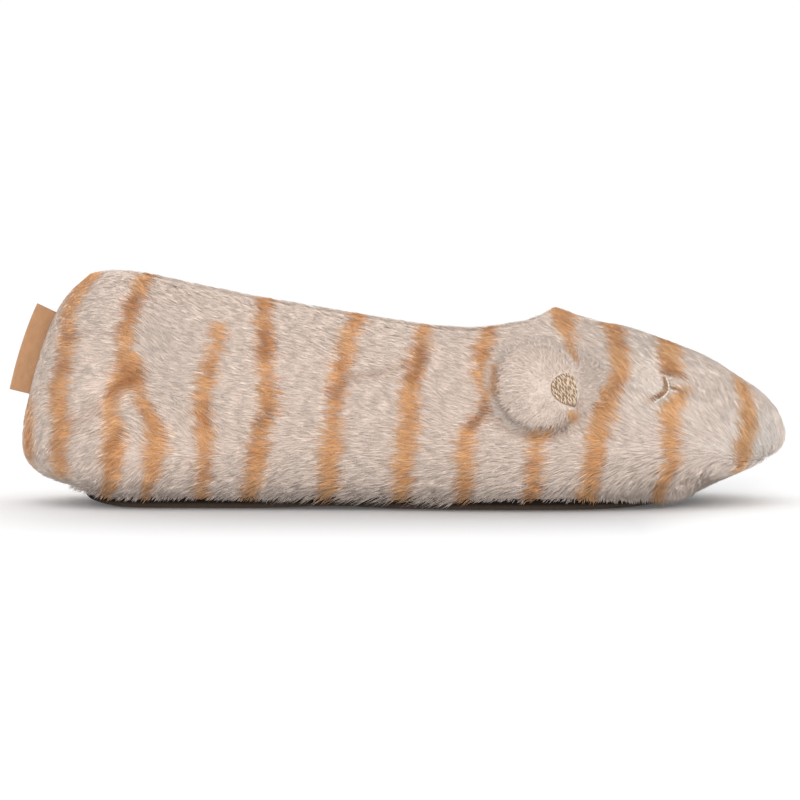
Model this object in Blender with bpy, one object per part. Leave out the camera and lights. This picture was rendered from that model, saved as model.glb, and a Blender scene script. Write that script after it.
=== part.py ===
"""Plush ballerina slipper with a sleeping animal's face, for a right foot.

The toe points to +X, the medial side is +Y and the shoe stands on the floor at z = 0.
Sizes below are in millimetres; meshes are written in metres.
"""

from collections import namedtuple
from math import cos, hypot, pi, radians, sin
from random import Random

import bmesh
import bpy
import numpy as np

MM = 0.001
WELD = 1e-5
GAP = 0.3

# Upper: a wall of backing, lining and laid-down pile, with locks of fur raised on it
WALL = 4.6
HEM_HEIGHT = 4.4
TOE_SWING = 5.0
COLUMNS = 84
OUTER_ROWS = 11
RIM_ROWS = 3
INNER_LEVELS = (4, 3.2, 2.4, 1.6, 1.0, 0.5, 0.22, 0)
LOCK_RISE = 2.0
LOCK_LEAN = 3.2
LOCK_TAPER = 0.38
LOCK_SIZES = (0.75, 1.15)
LOCK_LAY = np.array((-0.8, 0.0, -0.6))

# Sole and footbed
SOLE_THICK = 5.0
SLAB_EDGE = 0.9
SLAB_RINGS = (1.0, 0.55, 0.2, 0.0)
INSOLE_THICK = 3.0
SPINE_HEEL, SPINE_TOE = -78.0, 62.0
HEEL_LIFT, HEEL_LIFT_FROM, HEEL_LIFT_AT = 3.8, -90.0, -116.0
TOE_SPRING, TOE_SPRING_FROM, TOE_SPRING_AT = 6.5, 62.0, 116.0
ARCH_LIFT, ARCH_FROM, ARCH_TO = 0.8, -52.0, 4.0

# Ears and their embroidered patches
EAR_STATION, EAR_ROW = 4.64, 2.0
EAR_LENGTH, EAR_HEIGHT, EAR_THICK = 25.0, 23.5, 11.0
EAR_BELLY = 0.42
EAR_CLEAR = 7.0
EAR_COLUMNS = 24
EAR_SEAT_RINGS = ((0.0, 0.0), (0.45, 0.0), (0.78, 0.0), (0.95, 0.45))
EAR_DOME_TURNS = (0, 28, 52, 72, 90)
EAR_LOCKS_FROM, EAR_LOCKS_TO = 0.08, 0.8
PATCH_FRONT, PATCH_LENGTH, PATCH_HEIGHT, PATCH_THICK = 10.0, 7.5, 7.4, 0.9
PATCH_DROP = 4.4
PATCH_FLAT_FRONT = 0.5
PATCH_RINGS, PATCH_COLUMNS = 3, 20

# Ribbon tab in the heel seam, from one row of the upper to another
TAB_REACH, TAB_LEAF, TAB_SLIT, TAB_CORNER = 9.2, 0.8, 0.5, 0.3
TAB_FROM, TAB_TO, TAB_STEPS = 1.82, 2.94, 6
TAB_CLEAR_ROWS, TAB_CLEAR_STATIONS = 0.4, 0.3

# Each row is a section of one side, from the heel round to the toe. Columns are points (x, y, z)
# up the section, with y as the distance from the middle line: the hem at the sole, the widest
# place, the shoulder, the lip below the collar and the collar itself. The last column is how
# much closer to the middle line the medial side runs.
Section = namedtuple("Section", "name hem wide shoulder lip collar medial_in")
SECTIONS = (
    Section("heel back", (-114, 0), (-128, 0, 17), (-125, 0, 41), (-116.5, 0, 65), (-107, 0, 76), 0),
    Section("heel side", (-98, 27.5), (-105, 34, 17.5), (-103, 32, 43), (-98.5, 27, 65), (-94, 19, 76), 0),
    Section("heel front", (-62, 32), (-63, 38, 19), (-62, 36.5, 43), (-61, 32, 60), (-60, 24, 69), 1.5),
    Section("waist", (-18, 34), (-18, 40.5, 20), (-17, 39, 41), (-16, 34, 54), (-15, 25.5, 61.3), 3.5),
    Section("ball", (22, 40), (23, 46, 21), (22, 43, 40), (20, 36, 51), (18, 26, 57), 2),
    Section("vamp", (57, 40.5), (62, 46.5, 21), (55, 40.5, 42), (47, 29.5, 53), (39, 18.5, 59), -1),
    Section("toe side", (88, 27), (107, 31.5, 20.5), (92, 26.5, 41.5), (69, 17, 54.5), (48.5, 9, 62.3), -1.5),
    Section("toe tip", (105, 0), (128.4, 0, 21), (115.5, 0, 41), (79.5, 0, 56.8), (52, 0, 64.6), 0),
)
STATIONS = 2 * (len(SECTIONS) - 1)

# Principled values: base colour, roughness
FINISHES = {
    "plush": ((0.70, 0.60, 0.52), 0.95),
    "sole_rubber": ((0.035, 0.028, 0.025), 0.80),
    "footbed": ((0.66, 0.57, 0.50), 0.95),
    "gold_thread": ((0.62, 0.50, 0.33), 0.45),
    "ribbon": ((0.47, 0.27, 0.15), 0.75),
}


def clear_scene():
    for thing in list(bpy.data.objects):
        bpy.data.objects.remove(thing)


def eased(start, end, x):
    """The square of how far x is on the way from start to end, flat before and after."""
    return min(max((x - start) / (end - start), 0), 1) ** 2


def tread_z(x):
    """Height of the sole's underside: heel lift, arch and toe spring between two flat stretches."""
    arch = min(max((x - ARCH_FROM) / (ARCH_TO - ARCH_FROM), 0), 1)
    return (
        HEEL_LIFT * eased(HEEL_LIFT_FROM, HEEL_LIFT_AT, x)
        + TOE_SPRING * eased(TOE_SPRING_FROM, TOE_SPRING_AT, x)
        + ARCH_LIFT * sin(pi * arch) ** 2
    )


def swing(x):
    """How far the middle line bends to the medial side in front of the waist."""
    return TOE_SWING * eased(0, SECTIONS[-1].wide[0], x)


def section_points(section, side):
    """The points up one section, on the lateral side (-1) or the medial side (1)."""
    inward = section.medial_in if side > 0 else 0
    x, y = section.hem
    hem = (x, y, tread_z(x) + HEM_HEIGHT)
    rows = (hem, section.wide, section.shoulder, section.lip, section.collar)
    return [(x, side * max(y - inward, 0) + swing(x), z) for x, y, z in rows]


def all_sections():
    """Sections in order round the shoe: heel back, lateral side, toe tip, medial side."""
    lateral = [section_points(section, -1) for section in SECTIONS]
    medial = [section_points(section, 1) for section in SECTIONS[-2:0:-1]]
    return np.array(lateral + medial)


def curve_weights(place, count, closed):
    """Weights of count points on a smooth curve through them (Catmull-Rom), at a place counted in points."""
    first = int(np.floor(place))
    if not closed:
        first = min(max(first, 0), count - 2)
    t = place - first
    shares = (-t + 2 * t**2 - t**3, 2 - 5 * t**2 + 3 * t**3, t + 4 * t**2 - 3 * t**3, t**3 - t**2)
    weights = np.zeros(count)
    for step, share in zip((-1, 0, 1, 2), shares):
        point = first + step
        if closed:
            weights[point % count] += share / 2
        elif point < 0:
            weights[:2] += np.array((2, -1)) * share / 2
        elif point >= count:
            weights[-2:] += np.array((-1, 2)) * share / 2
        else:
            weights[point] += share / 2
    return weights


POINTS = all_sections()
TOP_ROW = POINTS.shape[1] - 1
SKIN_ROWS = OUTER_ROWS + RIM_ROWS + len(INNER_LEVELS)


def outer(station, row):
    """Outer face of the upper, at a station round the shoe and a row from hem (0) to collar."""
    up = curve_weights(row, TOP_ROW + 1, False)
    return np.einsum("s,r,srk", curve_weights(station, STATIONS, True), up, POINTS)


def slopes(surface, station, row, step=0.01):
    """Changes of a surface round the shoe and up it."""
    around = surface(station + step, row) - surface(station - step, row)
    up = surface(station, row + step) - surface(station, row - step)
    return around / (2 * step), up / (2 * step)


def unit(vector):
    return vector / np.linalg.norm(vector)


def normal(surface, station, row):
    return unit(np.cross(*slopes(surface, station, row)))


def inner(station, row):
    """Inner face of the upper, one wall inside the outer. The hem is cut level."""
    out = normal(outer, station, row)
    out[2] *= min(row, 1)
    return outer(station, row) - WALL * unit(out)


def rim(station, turn):
    """Rolled collar edge: turn runs from 0 on the outer face to 1 on the inner face."""
    out = normal(outer, station, TOP_ROW)
    up = unit(slopes(outer, station, TOP_ROW)[1])
    middle = outer(station, TOP_ROW) - out * WALL / 2
    return middle + WALL / 2 * (cos(pi * turn) * out + sin(pi * turn) * up)


def upper_place(column, row):
    """Point of the upper's closed skin: up the outside, over the rim and down the inside."""
    station = STATIONS * column / COLUMNS
    row %= SKIN_ROWS
    if row <= OUTER_ROWS:
        return outer(station, TOP_ROW * row / OUTER_ROWS)
    row -= OUTER_ROWS
    if row < RIM_ROWS:
        return rim(station, row / RIM_ROWS)
    return inner(station, INNER_LEVELS[row - RIM_ROWS])


def wrapped(columns, rows, place):
    """A grid bent round into one closed skin. Its faces keep their column and row."""
    bm = bmesh.new()
    bmesh.ops.create_grid(bm, x_segments=columns, y_segments=rows, size=1)
    kept = [bm.faces.layers.int.new(name) for name in ("column", "row")]
    for face in bm.faces:
        middle = face.calc_center_median()
        face[kept[0]] = int((middle.x + 1) / 2 * columns)
        face[kept[1]] = int((middle.y + 1) / 2 * rows)
    for vert in bm.verts:
        column = round((vert.co.x + 1) / 2 * columns)
        row = round((vert.co.y + 1) / 2 * rows)
        vert.co = place(column % columns, row) * MM
    bmesh.ops.remove_doubles(bm, verts=bm.verts, dist=WELD)
    bmesh.ops.recalc_face_normals(bm, faces=bm.faces)
    return bm


def raise_locks(bm, wanted, seed):
    """Draws a leaning, tapered lock of fur out of each face whose column and row are wanted."""
    column, row = (bm.faces.layers.int[name] for name in ("column", "row"))
    faces = [face for face in bm.faces if wanted(face[column], face[row])]
    grown = bmesh.ops.extrude_discrete_faces(bm, faces=faces)["faces"]
    chance = Random(seed)
    for face in grown:
        out = np.array(face.normal)
        lay = LOCK_LAY - out * (LOCK_LAY @ out)
        size = chance.uniform(*LOCK_SIZES) * MM
        tip = out * LOCK_RISE * size + lay * LOCK_LEAN * size
        middle = face.calc_center_median()
        for vert in face.verts:
            vert.co = np.array(middle) + tip + LOCK_TAPER * np.array(vert.co - middle)


def finish(name):
    """A Principled material of the named finish."""
    colour, roughness = FINISHES[name]
    material = bpy.data.materials.get(name) or bpy.data.materials.new(name)
    material.use_nodes = True
    shader = material.node_tree.nodes["Principled BSDF"]
    shader.inputs["Base Color"].default_value = (*colour, 1)
    shader.inputs["Roughness"].default_value = roughness
    return material


def add_piece(name, bm, finish_name, collection):
    mesh = bpy.data.meshes.new(name)
    bm.to_mesh(mesh)
    bm.free()
    mesh.materials.append(finish(finish_name))
    mesh.shade_smooth()
    mesh.set_sharp_from_angle(angle=radians(50))
    piece = bpy.data.objects.new(name, mesh)
    collection.objects.link(piece)
    return piece


def seat_steps(seat):
    """Millimetres at an ear's seat: round the shoe a station, and both ways a row, which leans."""
    around, up = slopes(outer, seat, EAR_ROW)
    run = np.linalg.norm(around)
    lean = up @ around / run
    return run, lean, np.linalg.norm(up - lean * around / run)


def under_ear(station, row):
    """True where an ear, with clear room for its locks, covers the outer face of the upper."""
    for seat in (EAR_STATION, STATIONS - EAR_STATION):
        run, lean, rise = seat_steps(seat)
        along = (station - seat) * run + (row - EAR_ROW) * lean
        height = (row - EAR_ROW) * rise
        if hypot(along / (EAR_LENGTH / 2 + EAR_CLEAR), height / (EAR_HEIGHT / 2 + EAR_CLEAR)) < 1:
            return True
    return False


def at_tab(station, row):
    """True beside the heel seam where the ribbon tab is sewn in."""
    near = min(station, STATIONS - station) < TAB_CLEAR_STATIONS
    return near and TAB_FROM - TAB_CLEAR_ROWS < row < TAB_TO + TAB_CLEAR_ROWS


def make_upper(collection):
    def has_lock(column, row):
        if row >= OUTER_ROWS or (column + row) % 2:
            return False
        station = STATIONS * (column + 0.5) / COLUMNS
        level = TOP_ROW * (row + 0.5) / OUTER_ROWS
        return not (under_ear(station, level) or at_tab(station, level))

    bm = wrapped(COLUMNS, SKIN_ROWS, upper_place)
    raise_locks(bm, has_lock, seed=3)
    return add_piece("upper", bm, "plush", collection)


def inner_row(station, height):
    """The row at which the upper's inner face has this height over the tread."""
    low, high = 0.0, 1.0
    for _ in range(16):
        middle = (low + high) / 2
        x, _, z = inner(station, middle)
        if z - tread_z(x) < height:
            low = middle
        else:
            high = middle
    return low


def inset_edge(station, height, inset):
    """Point on the floor plan, moved inwards from the upper's inner face at this height."""
    row = inner_row(station, height)
    around = slopes(inner, station, row)[0]
    outward = unit(np.array((around[1], -around[0])))
    return inner(station, row)[:2] - inset * outward


def slab(bottom_edge, top_edge, bottom, top):
    """A plate that follows the tread, bottom and top being heights over it.

    Its rings run from the spine under the foot out to the bottom edge, up the side past two
    bevels, and back over the top. Each ring has its outline, its share of the way to the spine,
    its inset from the outline and its height.
    """
    rings = [(bottom_edge, share, SLAB_EDGE, bottom) for share in SLAB_RINGS]
    rings += [(bottom_edge, 0, 0, bottom + SLAB_EDGE), (top_edge, 0, 0, top - SLAB_EDGE)]
    rings += [(top_edge, share, SLAB_EDGE, top) for share in SLAB_RINGS[::-1]]

    def place(column, row):
        station = STATIONS * column / COLUMNS
        outline, share, inset, height = rings[row]
        point = outline(station, inset)
        middle = (point[0] + outline(STATIONS - station, inset)[0]) / 2
        spine = min(max(middle, SPINE_HEEL), SPINE_TOE)
        point = point + share * (np.array((spine, swing(spine))) - point)
        return np.array((*point, tread_z(point[0]) + height))

    return wrapped(COLUMNS, len(rings) - 1, place)


def make_outsole(collection):
    def edge(station, inset):
        return inset_edge(station, HEM_HEIGHT, GAP + inset)

    bm = slab(edge, edge, 0, SOLE_THICK)
    return add_piece("outsole", bm, "sole_rubber", collection)


def make_insole(collection):
    bottom = SOLE_THICK + GAP
    top = bottom + INSOLE_THICK

    def edge_at(height):
        return lambda station, inset: inset_edge(station, height, GAP + inset)

    bm = slab(edge_at(bottom), edge_at(top - SLAB_EDGE), bottom, top)
    return add_piece("insole", bm, "footbed", collection)


def ear_skin(seat, toward_toe):
    """The ear's place over the upper: along and height in the ear's own plane, lift off the upper."""
    run, lean, rise = seat_steps(seat)

    def place(along, height, lift):
        station = seat + (toward_toe * along - height * lean / rise) / run
        row = EAR_ROW + height / rise
        return outer(station, row) + (GAP + lift) * normal(outer, station, row)

    return place


def dome(along, height):
    """Lift of the ear's upper face."""
    reach = min(hypot(2 * along / EAR_LENGTH, 2 * height / EAR_HEIGHT), 1)
    return EAR_THICK * (EAR_BELLY + (1 - EAR_BELLY) * (1 - reach**2) ** 0.5)


def make_ear(name, seat, toward_toe, collection):
    """A puffy round ear on its seat, with locks all over but on its front, where the patch lies."""
    skin = ear_skin(seat, toward_toe)
    belly = EAR_BELLY * EAR_THICK
    rings = [(reach, share * belly) for reach, share in EAR_SEAT_RINGS]
    for turn in EAR_DOME_TURNS:
        rings.append((cos(radians(turn)), belly + (EAR_THICK - belly) * sin(radians(turn))))

    def place(column, row):
        reach, lift = rings[row]
        angle = 2 * pi * column / EAR_COLUMNS
        return skin(reach * cos(angle) * EAR_LENGTH / 2, reach * sin(angle) * EAR_HEIGHT / 2, lift)

    def has_lock(column, row):
        turn = (column + 0.5) / EAR_COLUMNS
        on_dome = len(EAR_SEAT_RINGS) <= row < len(rings) - 2
        return on_dome and (column + row) % 2 == 0 and EAR_LOCKS_FROM < turn < EAR_LOCKS_TO

    bm = wrapped(EAR_COLUMNS, len(rings) - 1, place)
    raise_locks(bm, has_lock, seed=5)
    return add_piece(name, bm, "plush", collection)


def make_ear_patch(name, seat, toward_toe, collection):
    """Embroidered patch: round at the back, nearly straight at the front, 0.3 mm off the ear."""
    skin = ear_skin(seat, toward_toe)

    def ear_face(along, height):
        return skin(along, height, dome(along, height))

    def place(column, row):
        angle = 2 * pi * column / PATCH_COLUMNS
        ring = min(row, 2 * PATCH_RINGS + 1 - row) / PATCH_RINGS
        back = ring * cos(angle)
        if back > 0:
            back *= PATCH_FLAT_FRONT
        along = PATCH_FRONT + (back - PATCH_FLAT_FRONT) * PATCH_LENGTH / (1 + PATCH_FLAT_FRONT)
        height = ring * sin(angle) * PATCH_HEIGHT / 2 - PATCH_DROP
        lift = GAP if row <= PATCH_RINGS else GAP + PATCH_THICK
        out = toward_toe * normal(ear_face, along, height)
        return ear_face(along, height) + lift * out

    bm = wrapped(PATCH_COLUMNS, 2 * PATCH_RINGS + 1, place)
    return add_piece(name, bm, "gold_thread", collection)


def make_heel_tab(collection):
    """A ribbon folded in two, both ends towards the heel seam and the fold outwards."""
    half = TAB_SLIT / 2 + TAB_LEAF
    outline = [
        (0, half),
        (TAB_REACH - half, half),
        (TAB_REACH - TAB_CORNER * half, (1 - TAB_CORNER) * half),
        (TAB_REACH, 0),
    ]
    inside = [(TAB_REACH - half, 0), (TAB_REACH - (1 + TAB_CORNER) * half, TAB_SLIT / 2), (0, TAB_SLIT / 2)]
    profile = outline + [(out, -side) for out, side in outline[-2::-1]]
    profile += [(out, -side) for out, side in inside[::-1]] + inside[1:]

    bm = bmesh.new()
    bmesh.ops.create_grid(bm, x_segments=len(profile), y_segments=TAB_STEPS, size=1)
    for vert in bm.verts:
        corner = round((vert.co.x + 1) / 2 * len(profile)) % len(profile)
        row = TAB_FROM + (TAB_TO - TAB_FROM) * (vert.co.y + 1) / 2
        out, side = profile[corner]
        base = outer(0, row) + (GAP + out) * normal(outer, 0, row)
        vert.co = (base + np.array((0, side, 0))) * MM
    bmesh.ops.remove_doubles(bm, verts=bm.verts, dist=WELD)
    bmesh.ops.holes_fill(bm, edges=bm.edges, sides=0)
    bmesh.ops.recalc_face_normals(bm, faces=bm.faces)
    return add_piece("heel_tab", bm, "ribbon", collection)


def stand_on_origin(pieces, collection):
    """Hangs the pieces on an empty that puts the middle of the shoe's footprint on the origin."""
    corners = np.array([vert.co for piece in pieces for vert in piece.data.vertices])
    middle = (corners.min(0) + corners.max(0)) / 2
    seat = bpy.data.objects.new("slipper_origin", None)
    seat.location = (-middle[0], -middle[1], 0)
    collection.objects.link(seat)
    for piece in pieces:
        piece.parent = seat


def main():
    clear_scene()
    collection = bpy.data.collections.new("ballerina_slipper")
    bpy.context.scene.collection.children.link(collection)
    pieces = [make_upper(collection), make_outsole(collection), make_insole(collection)]
    for side, seat, toward_toe in (("lateral", EAR_STATION, 1), ("medial", STATIONS - EAR_STATION, -1)):
        pieces.append(make_ear("ear_" + side, seat, toward_toe, collection))
        pieces.append(make_ear_patch("ear_patch_" + side, seat, toward_toe, collection))
    pieces.append(make_heel_tab(collection))
    stand_on_origin(pieces, collection)


main()
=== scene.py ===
# %% [markdown]
# # A plush slipper with a sleeping face
# This lesson dresses a packed slipper: a hollow fur upper on a thin dark sole, with two puffy ears,
# two embroidered sleeping eyes and a ribbon in the heel seam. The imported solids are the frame, and
# every soft piece made here lies where its solid lies. All sizes of the shoe are in millimetres and
# turned into metres as a mesh is written.

# %% Load the fixed frame
import math
from collections import namedtuple

import bpy
import numpy as np
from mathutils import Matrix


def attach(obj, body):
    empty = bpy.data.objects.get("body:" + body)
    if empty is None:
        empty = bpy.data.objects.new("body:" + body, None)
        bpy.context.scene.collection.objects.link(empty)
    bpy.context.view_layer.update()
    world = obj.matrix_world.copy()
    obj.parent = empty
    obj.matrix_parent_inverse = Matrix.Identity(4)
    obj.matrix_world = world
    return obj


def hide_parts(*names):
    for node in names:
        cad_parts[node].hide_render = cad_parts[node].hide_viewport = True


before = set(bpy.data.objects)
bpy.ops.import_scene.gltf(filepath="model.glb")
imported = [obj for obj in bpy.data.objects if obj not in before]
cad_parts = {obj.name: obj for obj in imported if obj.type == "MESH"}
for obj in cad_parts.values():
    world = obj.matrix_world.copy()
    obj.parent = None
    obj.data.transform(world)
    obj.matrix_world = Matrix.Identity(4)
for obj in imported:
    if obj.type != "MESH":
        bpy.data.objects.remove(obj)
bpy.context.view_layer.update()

MM = 0.001
bpy.ops.object.select_all(action="DESELECT")


def ramp(value, start, over):
    """Rises from 0 at the start to 1 when a stretch is over."""
    return np.clip((value - start) / over, 0, 1)


print("nodes:", ", ".join(sorted(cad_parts)))

# %% [markdown]
# ## The camera
# The slipper is seen from its outer side, with the lens a hand's breadth above the floor. One pixel of
# the 800-pixel picture covers 0.342 mm on the shoe's middle plane, and that sets the focal length. The
# camera comes first because the stripes are charted as it sees them.

# %% Camera
PIXEL = 0.342
PICTURE = 800
LAST_TO_FRAME = np.array((2.727, -0.332, 0.0))
CAMERA_AWAY = 1100.0
CAMERA_UP = math.radians(2.8)
SENSOR = 36.0
AIM = np.array((-1.7, 0.0, 34.9))

camera_spot = AIM + CAMERA_AWAY * np.array((0, -math.cos(CAMERA_UP), math.sin(CAMERA_UP)))
camera_data = bpy.data.cameras.new("side_camera")
camera_data.lens = SENSOR * CAMERA_AWAY / (PICTURE * PIXEL)
camera_data.clip_end = 50
camera = bpy.data.objects.new("side_camera", camera_data)
camera.location = (camera_spot + LAST_TO_FRAME) * MM
camera.rotation_euler = (math.pi / 2 - CAMERA_UP, 0, 0)
bpy.context.scene.collection.objects.link(camera)
bpy.context.scene.camera = camera
print(f"lens {camera_data.lens:.0f} mm, {camera.location.z:.3f} m above the floor")

# %% [markdown]
# ## The last
# A shoe is built round a last, so its shape is known from a few sections: where the hem, the widest
# place, the shoulder, the lip and the collar lie from heel to toe. A smooth curve through the sections
# both ways round gives every point of the upper. The table is the same one that the solids use, so
# the fur lies exactly on the wall that it covers. Working on whole arrays keeps it quick.

# %% The sections of the last
Section = namedtuple("Section", "name hem wide shoulder lip collar medial_in")
SECTIONS = (
    Section("heel back", (-114, 0), (-128, 0, 17), (-125, 0, 41), (-116.5, 0, 65), (-107, 0, 76), 0),
    Section("heel side", (-98, 27.5), (-105, 34, 17.5), (-103, 32, 43), (-98.5, 27, 65), (-94, 19, 76), 0),
    Section("heel front", (-62, 32), (-63, 38, 19), (-62, 36.5, 43), (-61, 32, 60), (-60, 24, 69), 1.5),
    Section("waist", (-18, 34), (-18, 40.5, 20), (-17, 39, 41), (-16, 34, 54), (-15, 25.5, 61.3), 3.5),
    Section("ball", (22, 40), (23, 46, 21), (22, 43, 40), (20, 36, 51), (18, 26, 57), 2),
    Section("vamp", (57, 40.5), (62, 46.5, 21), (55, 40.5, 42), (47, 29.5, 53), (39, 18.5, 59), -1),
    Section("toe side", (88, 27), (107, 31.5, 20.5), (92, 26.5, 41.5), (69, 17, 54.5), (48.5, 9, 62.3), -1.5),
    Section("toe tip", (105, 0), (128.4, 0, 21), (115.5, 0, 41), (79.5, 0, 56.8), (52, 0, 64.6), 0),
)
STATIONS = 2 * (len(SECTIONS) - 1)
TOP_ROW = 4
WALL = 4.6
HEM_HEIGHT = 4.4
TOE_SWING = 5.0
HEEL_LIFT, HEEL_LIFT_FROM, HEEL_LIFT_AT = 3.8, -90.0, -116.0
TOE_SPRING, TOE_SPRING_FROM, TOE_SPRING_AT = 6.5, 62.0, 116.0
ARCH_LIFT, ARCH_FROM, ARCH_TO = 0.8, -52.0, 4.0


def eased(start, end, x):
    return ramp(x, start, end - start) ** 2


def tread_z(x):
    """Height of the sole's underside: heel lift, arch and toe spring."""
    arch = ramp(x, ARCH_FROM, ARCH_TO - ARCH_FROM)
    lift = HEEL_LIFT * eased(HEEL_LIFT_FROM, HEEL_LIFT_AT, x)
    spring = TOE_SPRING * eased(TOE_SPRING_FROM, TOE_SPRING_AT, x)
    return lift + spring + ARCH_LIFT * np.sin(math.pi * arch) ** 2


def section_points(section, side):
    inward = section.medial_in if side > 0 else 0
    x, y = section.hem
    rows = ((x, y, tread_z(x) + HEM_HEIGHT), section.wide, section.shoulder, section.lip, section.collar)
    bend = [TOE_SWING * eased(0, SECTIONS[-1].wide[0], row[0]) for row in rows]
    return [(x, side * max(y - inward, 0) + off, z) for (x, y, z), off in zip(rows, bend)]


round_shoe = [section_points(section, -1) for section in SECTIONS]
round_shoe += [section_points(section, 1) for section in SECTIONS[-2:0:-1]]
net = np.array(round_shoe, float)
net = np.concatenate((2 * net[:, :1] - net[:, 1:2], net, 2 * net[:, -1:] - net[:, -2:-1]), axis=1)
print("sections round the shoe:", len(net))

# %% The outer face as a function


def shares(t):
    """How much four neighbouring points count on a smooth curve, t of the way along its middle span."""
    weights = -t + 2 * t**2 - t**3, 2 - 5 * t**2 + 3 * t**3, t + 4 * t**2 - 3 * t**3, t**3 - t**2
    return np.stack(weights, -1) / 2


def outer(station, row):
    """Outer face, at a station round the shoe (0 heel, 7 toe) and a row from hem (0) to collar (4)."""
    station, row = np.broadcast_arrays(np.asarray(station, float), np.asarray(row, float))
    behind = np.floor(station).astype(int)
    below = np.clip(np.floor(row).astype(int), 0, TOP_ROW - 1)
    around = (behind[..., None] + np.arange(-1, 3)) % STATIONS
    up = below[..., None] + np.arange(4)
    patch = net[around[..., :, None], up[..., None, :]]
    return np.einsum("...s,...r,...srk->...k", shares(station - behind), shares(row - below), patch)


def unit(vectors):
    return vectors / np.maximum(np.linalg.norm(vectors, axis=-1, keepdims=True), 1e-9)


def slopes(surface, across, up, step=0.01):
    """Changes of a surface along its two directions."""
    first = (surface(across + step, up) - surface(across - step, up)) / (2 * step)
    second = (surface(across, up + step) - surface(across, up - step)) / (2 * step)
    return first, second


def outward(station, row):
    return unit(np.cross(*slopes(outer, station, row)))


def inner(station, row):
    """Inner face, one wall inside the outer. The hem is cut level."""
    out = outward(station, row)
    out[..., 2] *= np.minimum(row, 1)
    return outer(station, row) - WALL * unit(out)


def collar_roll(station, turn):
    """Rolled collar edge: turn runs from 0 on the outer face to 1 on the inner face."""
    top = np.full(np.shape(station), float(TOP_ROW))
    out = outward(station, top)
    up = unit(slopes(outer, station, top)[1])
    angle = (math.pi * turn)[..., None]
    return outer(station, top) + WALL / 2 * ((np.cos(angle) - 1) * out + np.sin(angle) * up)


print("toe tip at", outer(7, 1).round(1), "heel back at", outer(0, 1).round(1))

# %% [markdown]
# ## Soft noise
# Fur is never even. One small table of chance numbers, read smoothly between its cells, gives slow
# drifts of direction, length and shade. A fixed seed makes every run the same.

# %% Soft noise
NOISE_CELLS = 32
noise_table = np.random.default_rng(7).uniform(-1, 1, (NOISE_CELLS,) * 3)


def drift(points, size, shift=0.0):
    """Smooth noise from -1 to 1 that changes over the given size in millimetres."""
    place = points / size + shift
    cell = np.floor(place).astype(int)
    part = place - cell
    part = part * part * (3 - 2 * part)
    total = 0.0
    for corner in np.ndindex(2, 2, 2):
        share = np.prod(np.where(corner, part, 1 - part), axis=-1)
        index = (cell + corner) % NOISE_CELLS
        total = total + share * noise_table[index[..., 0], index[..., 1], index[..., 2]]
    return total


print("noise cells:", noise_table.size)
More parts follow.
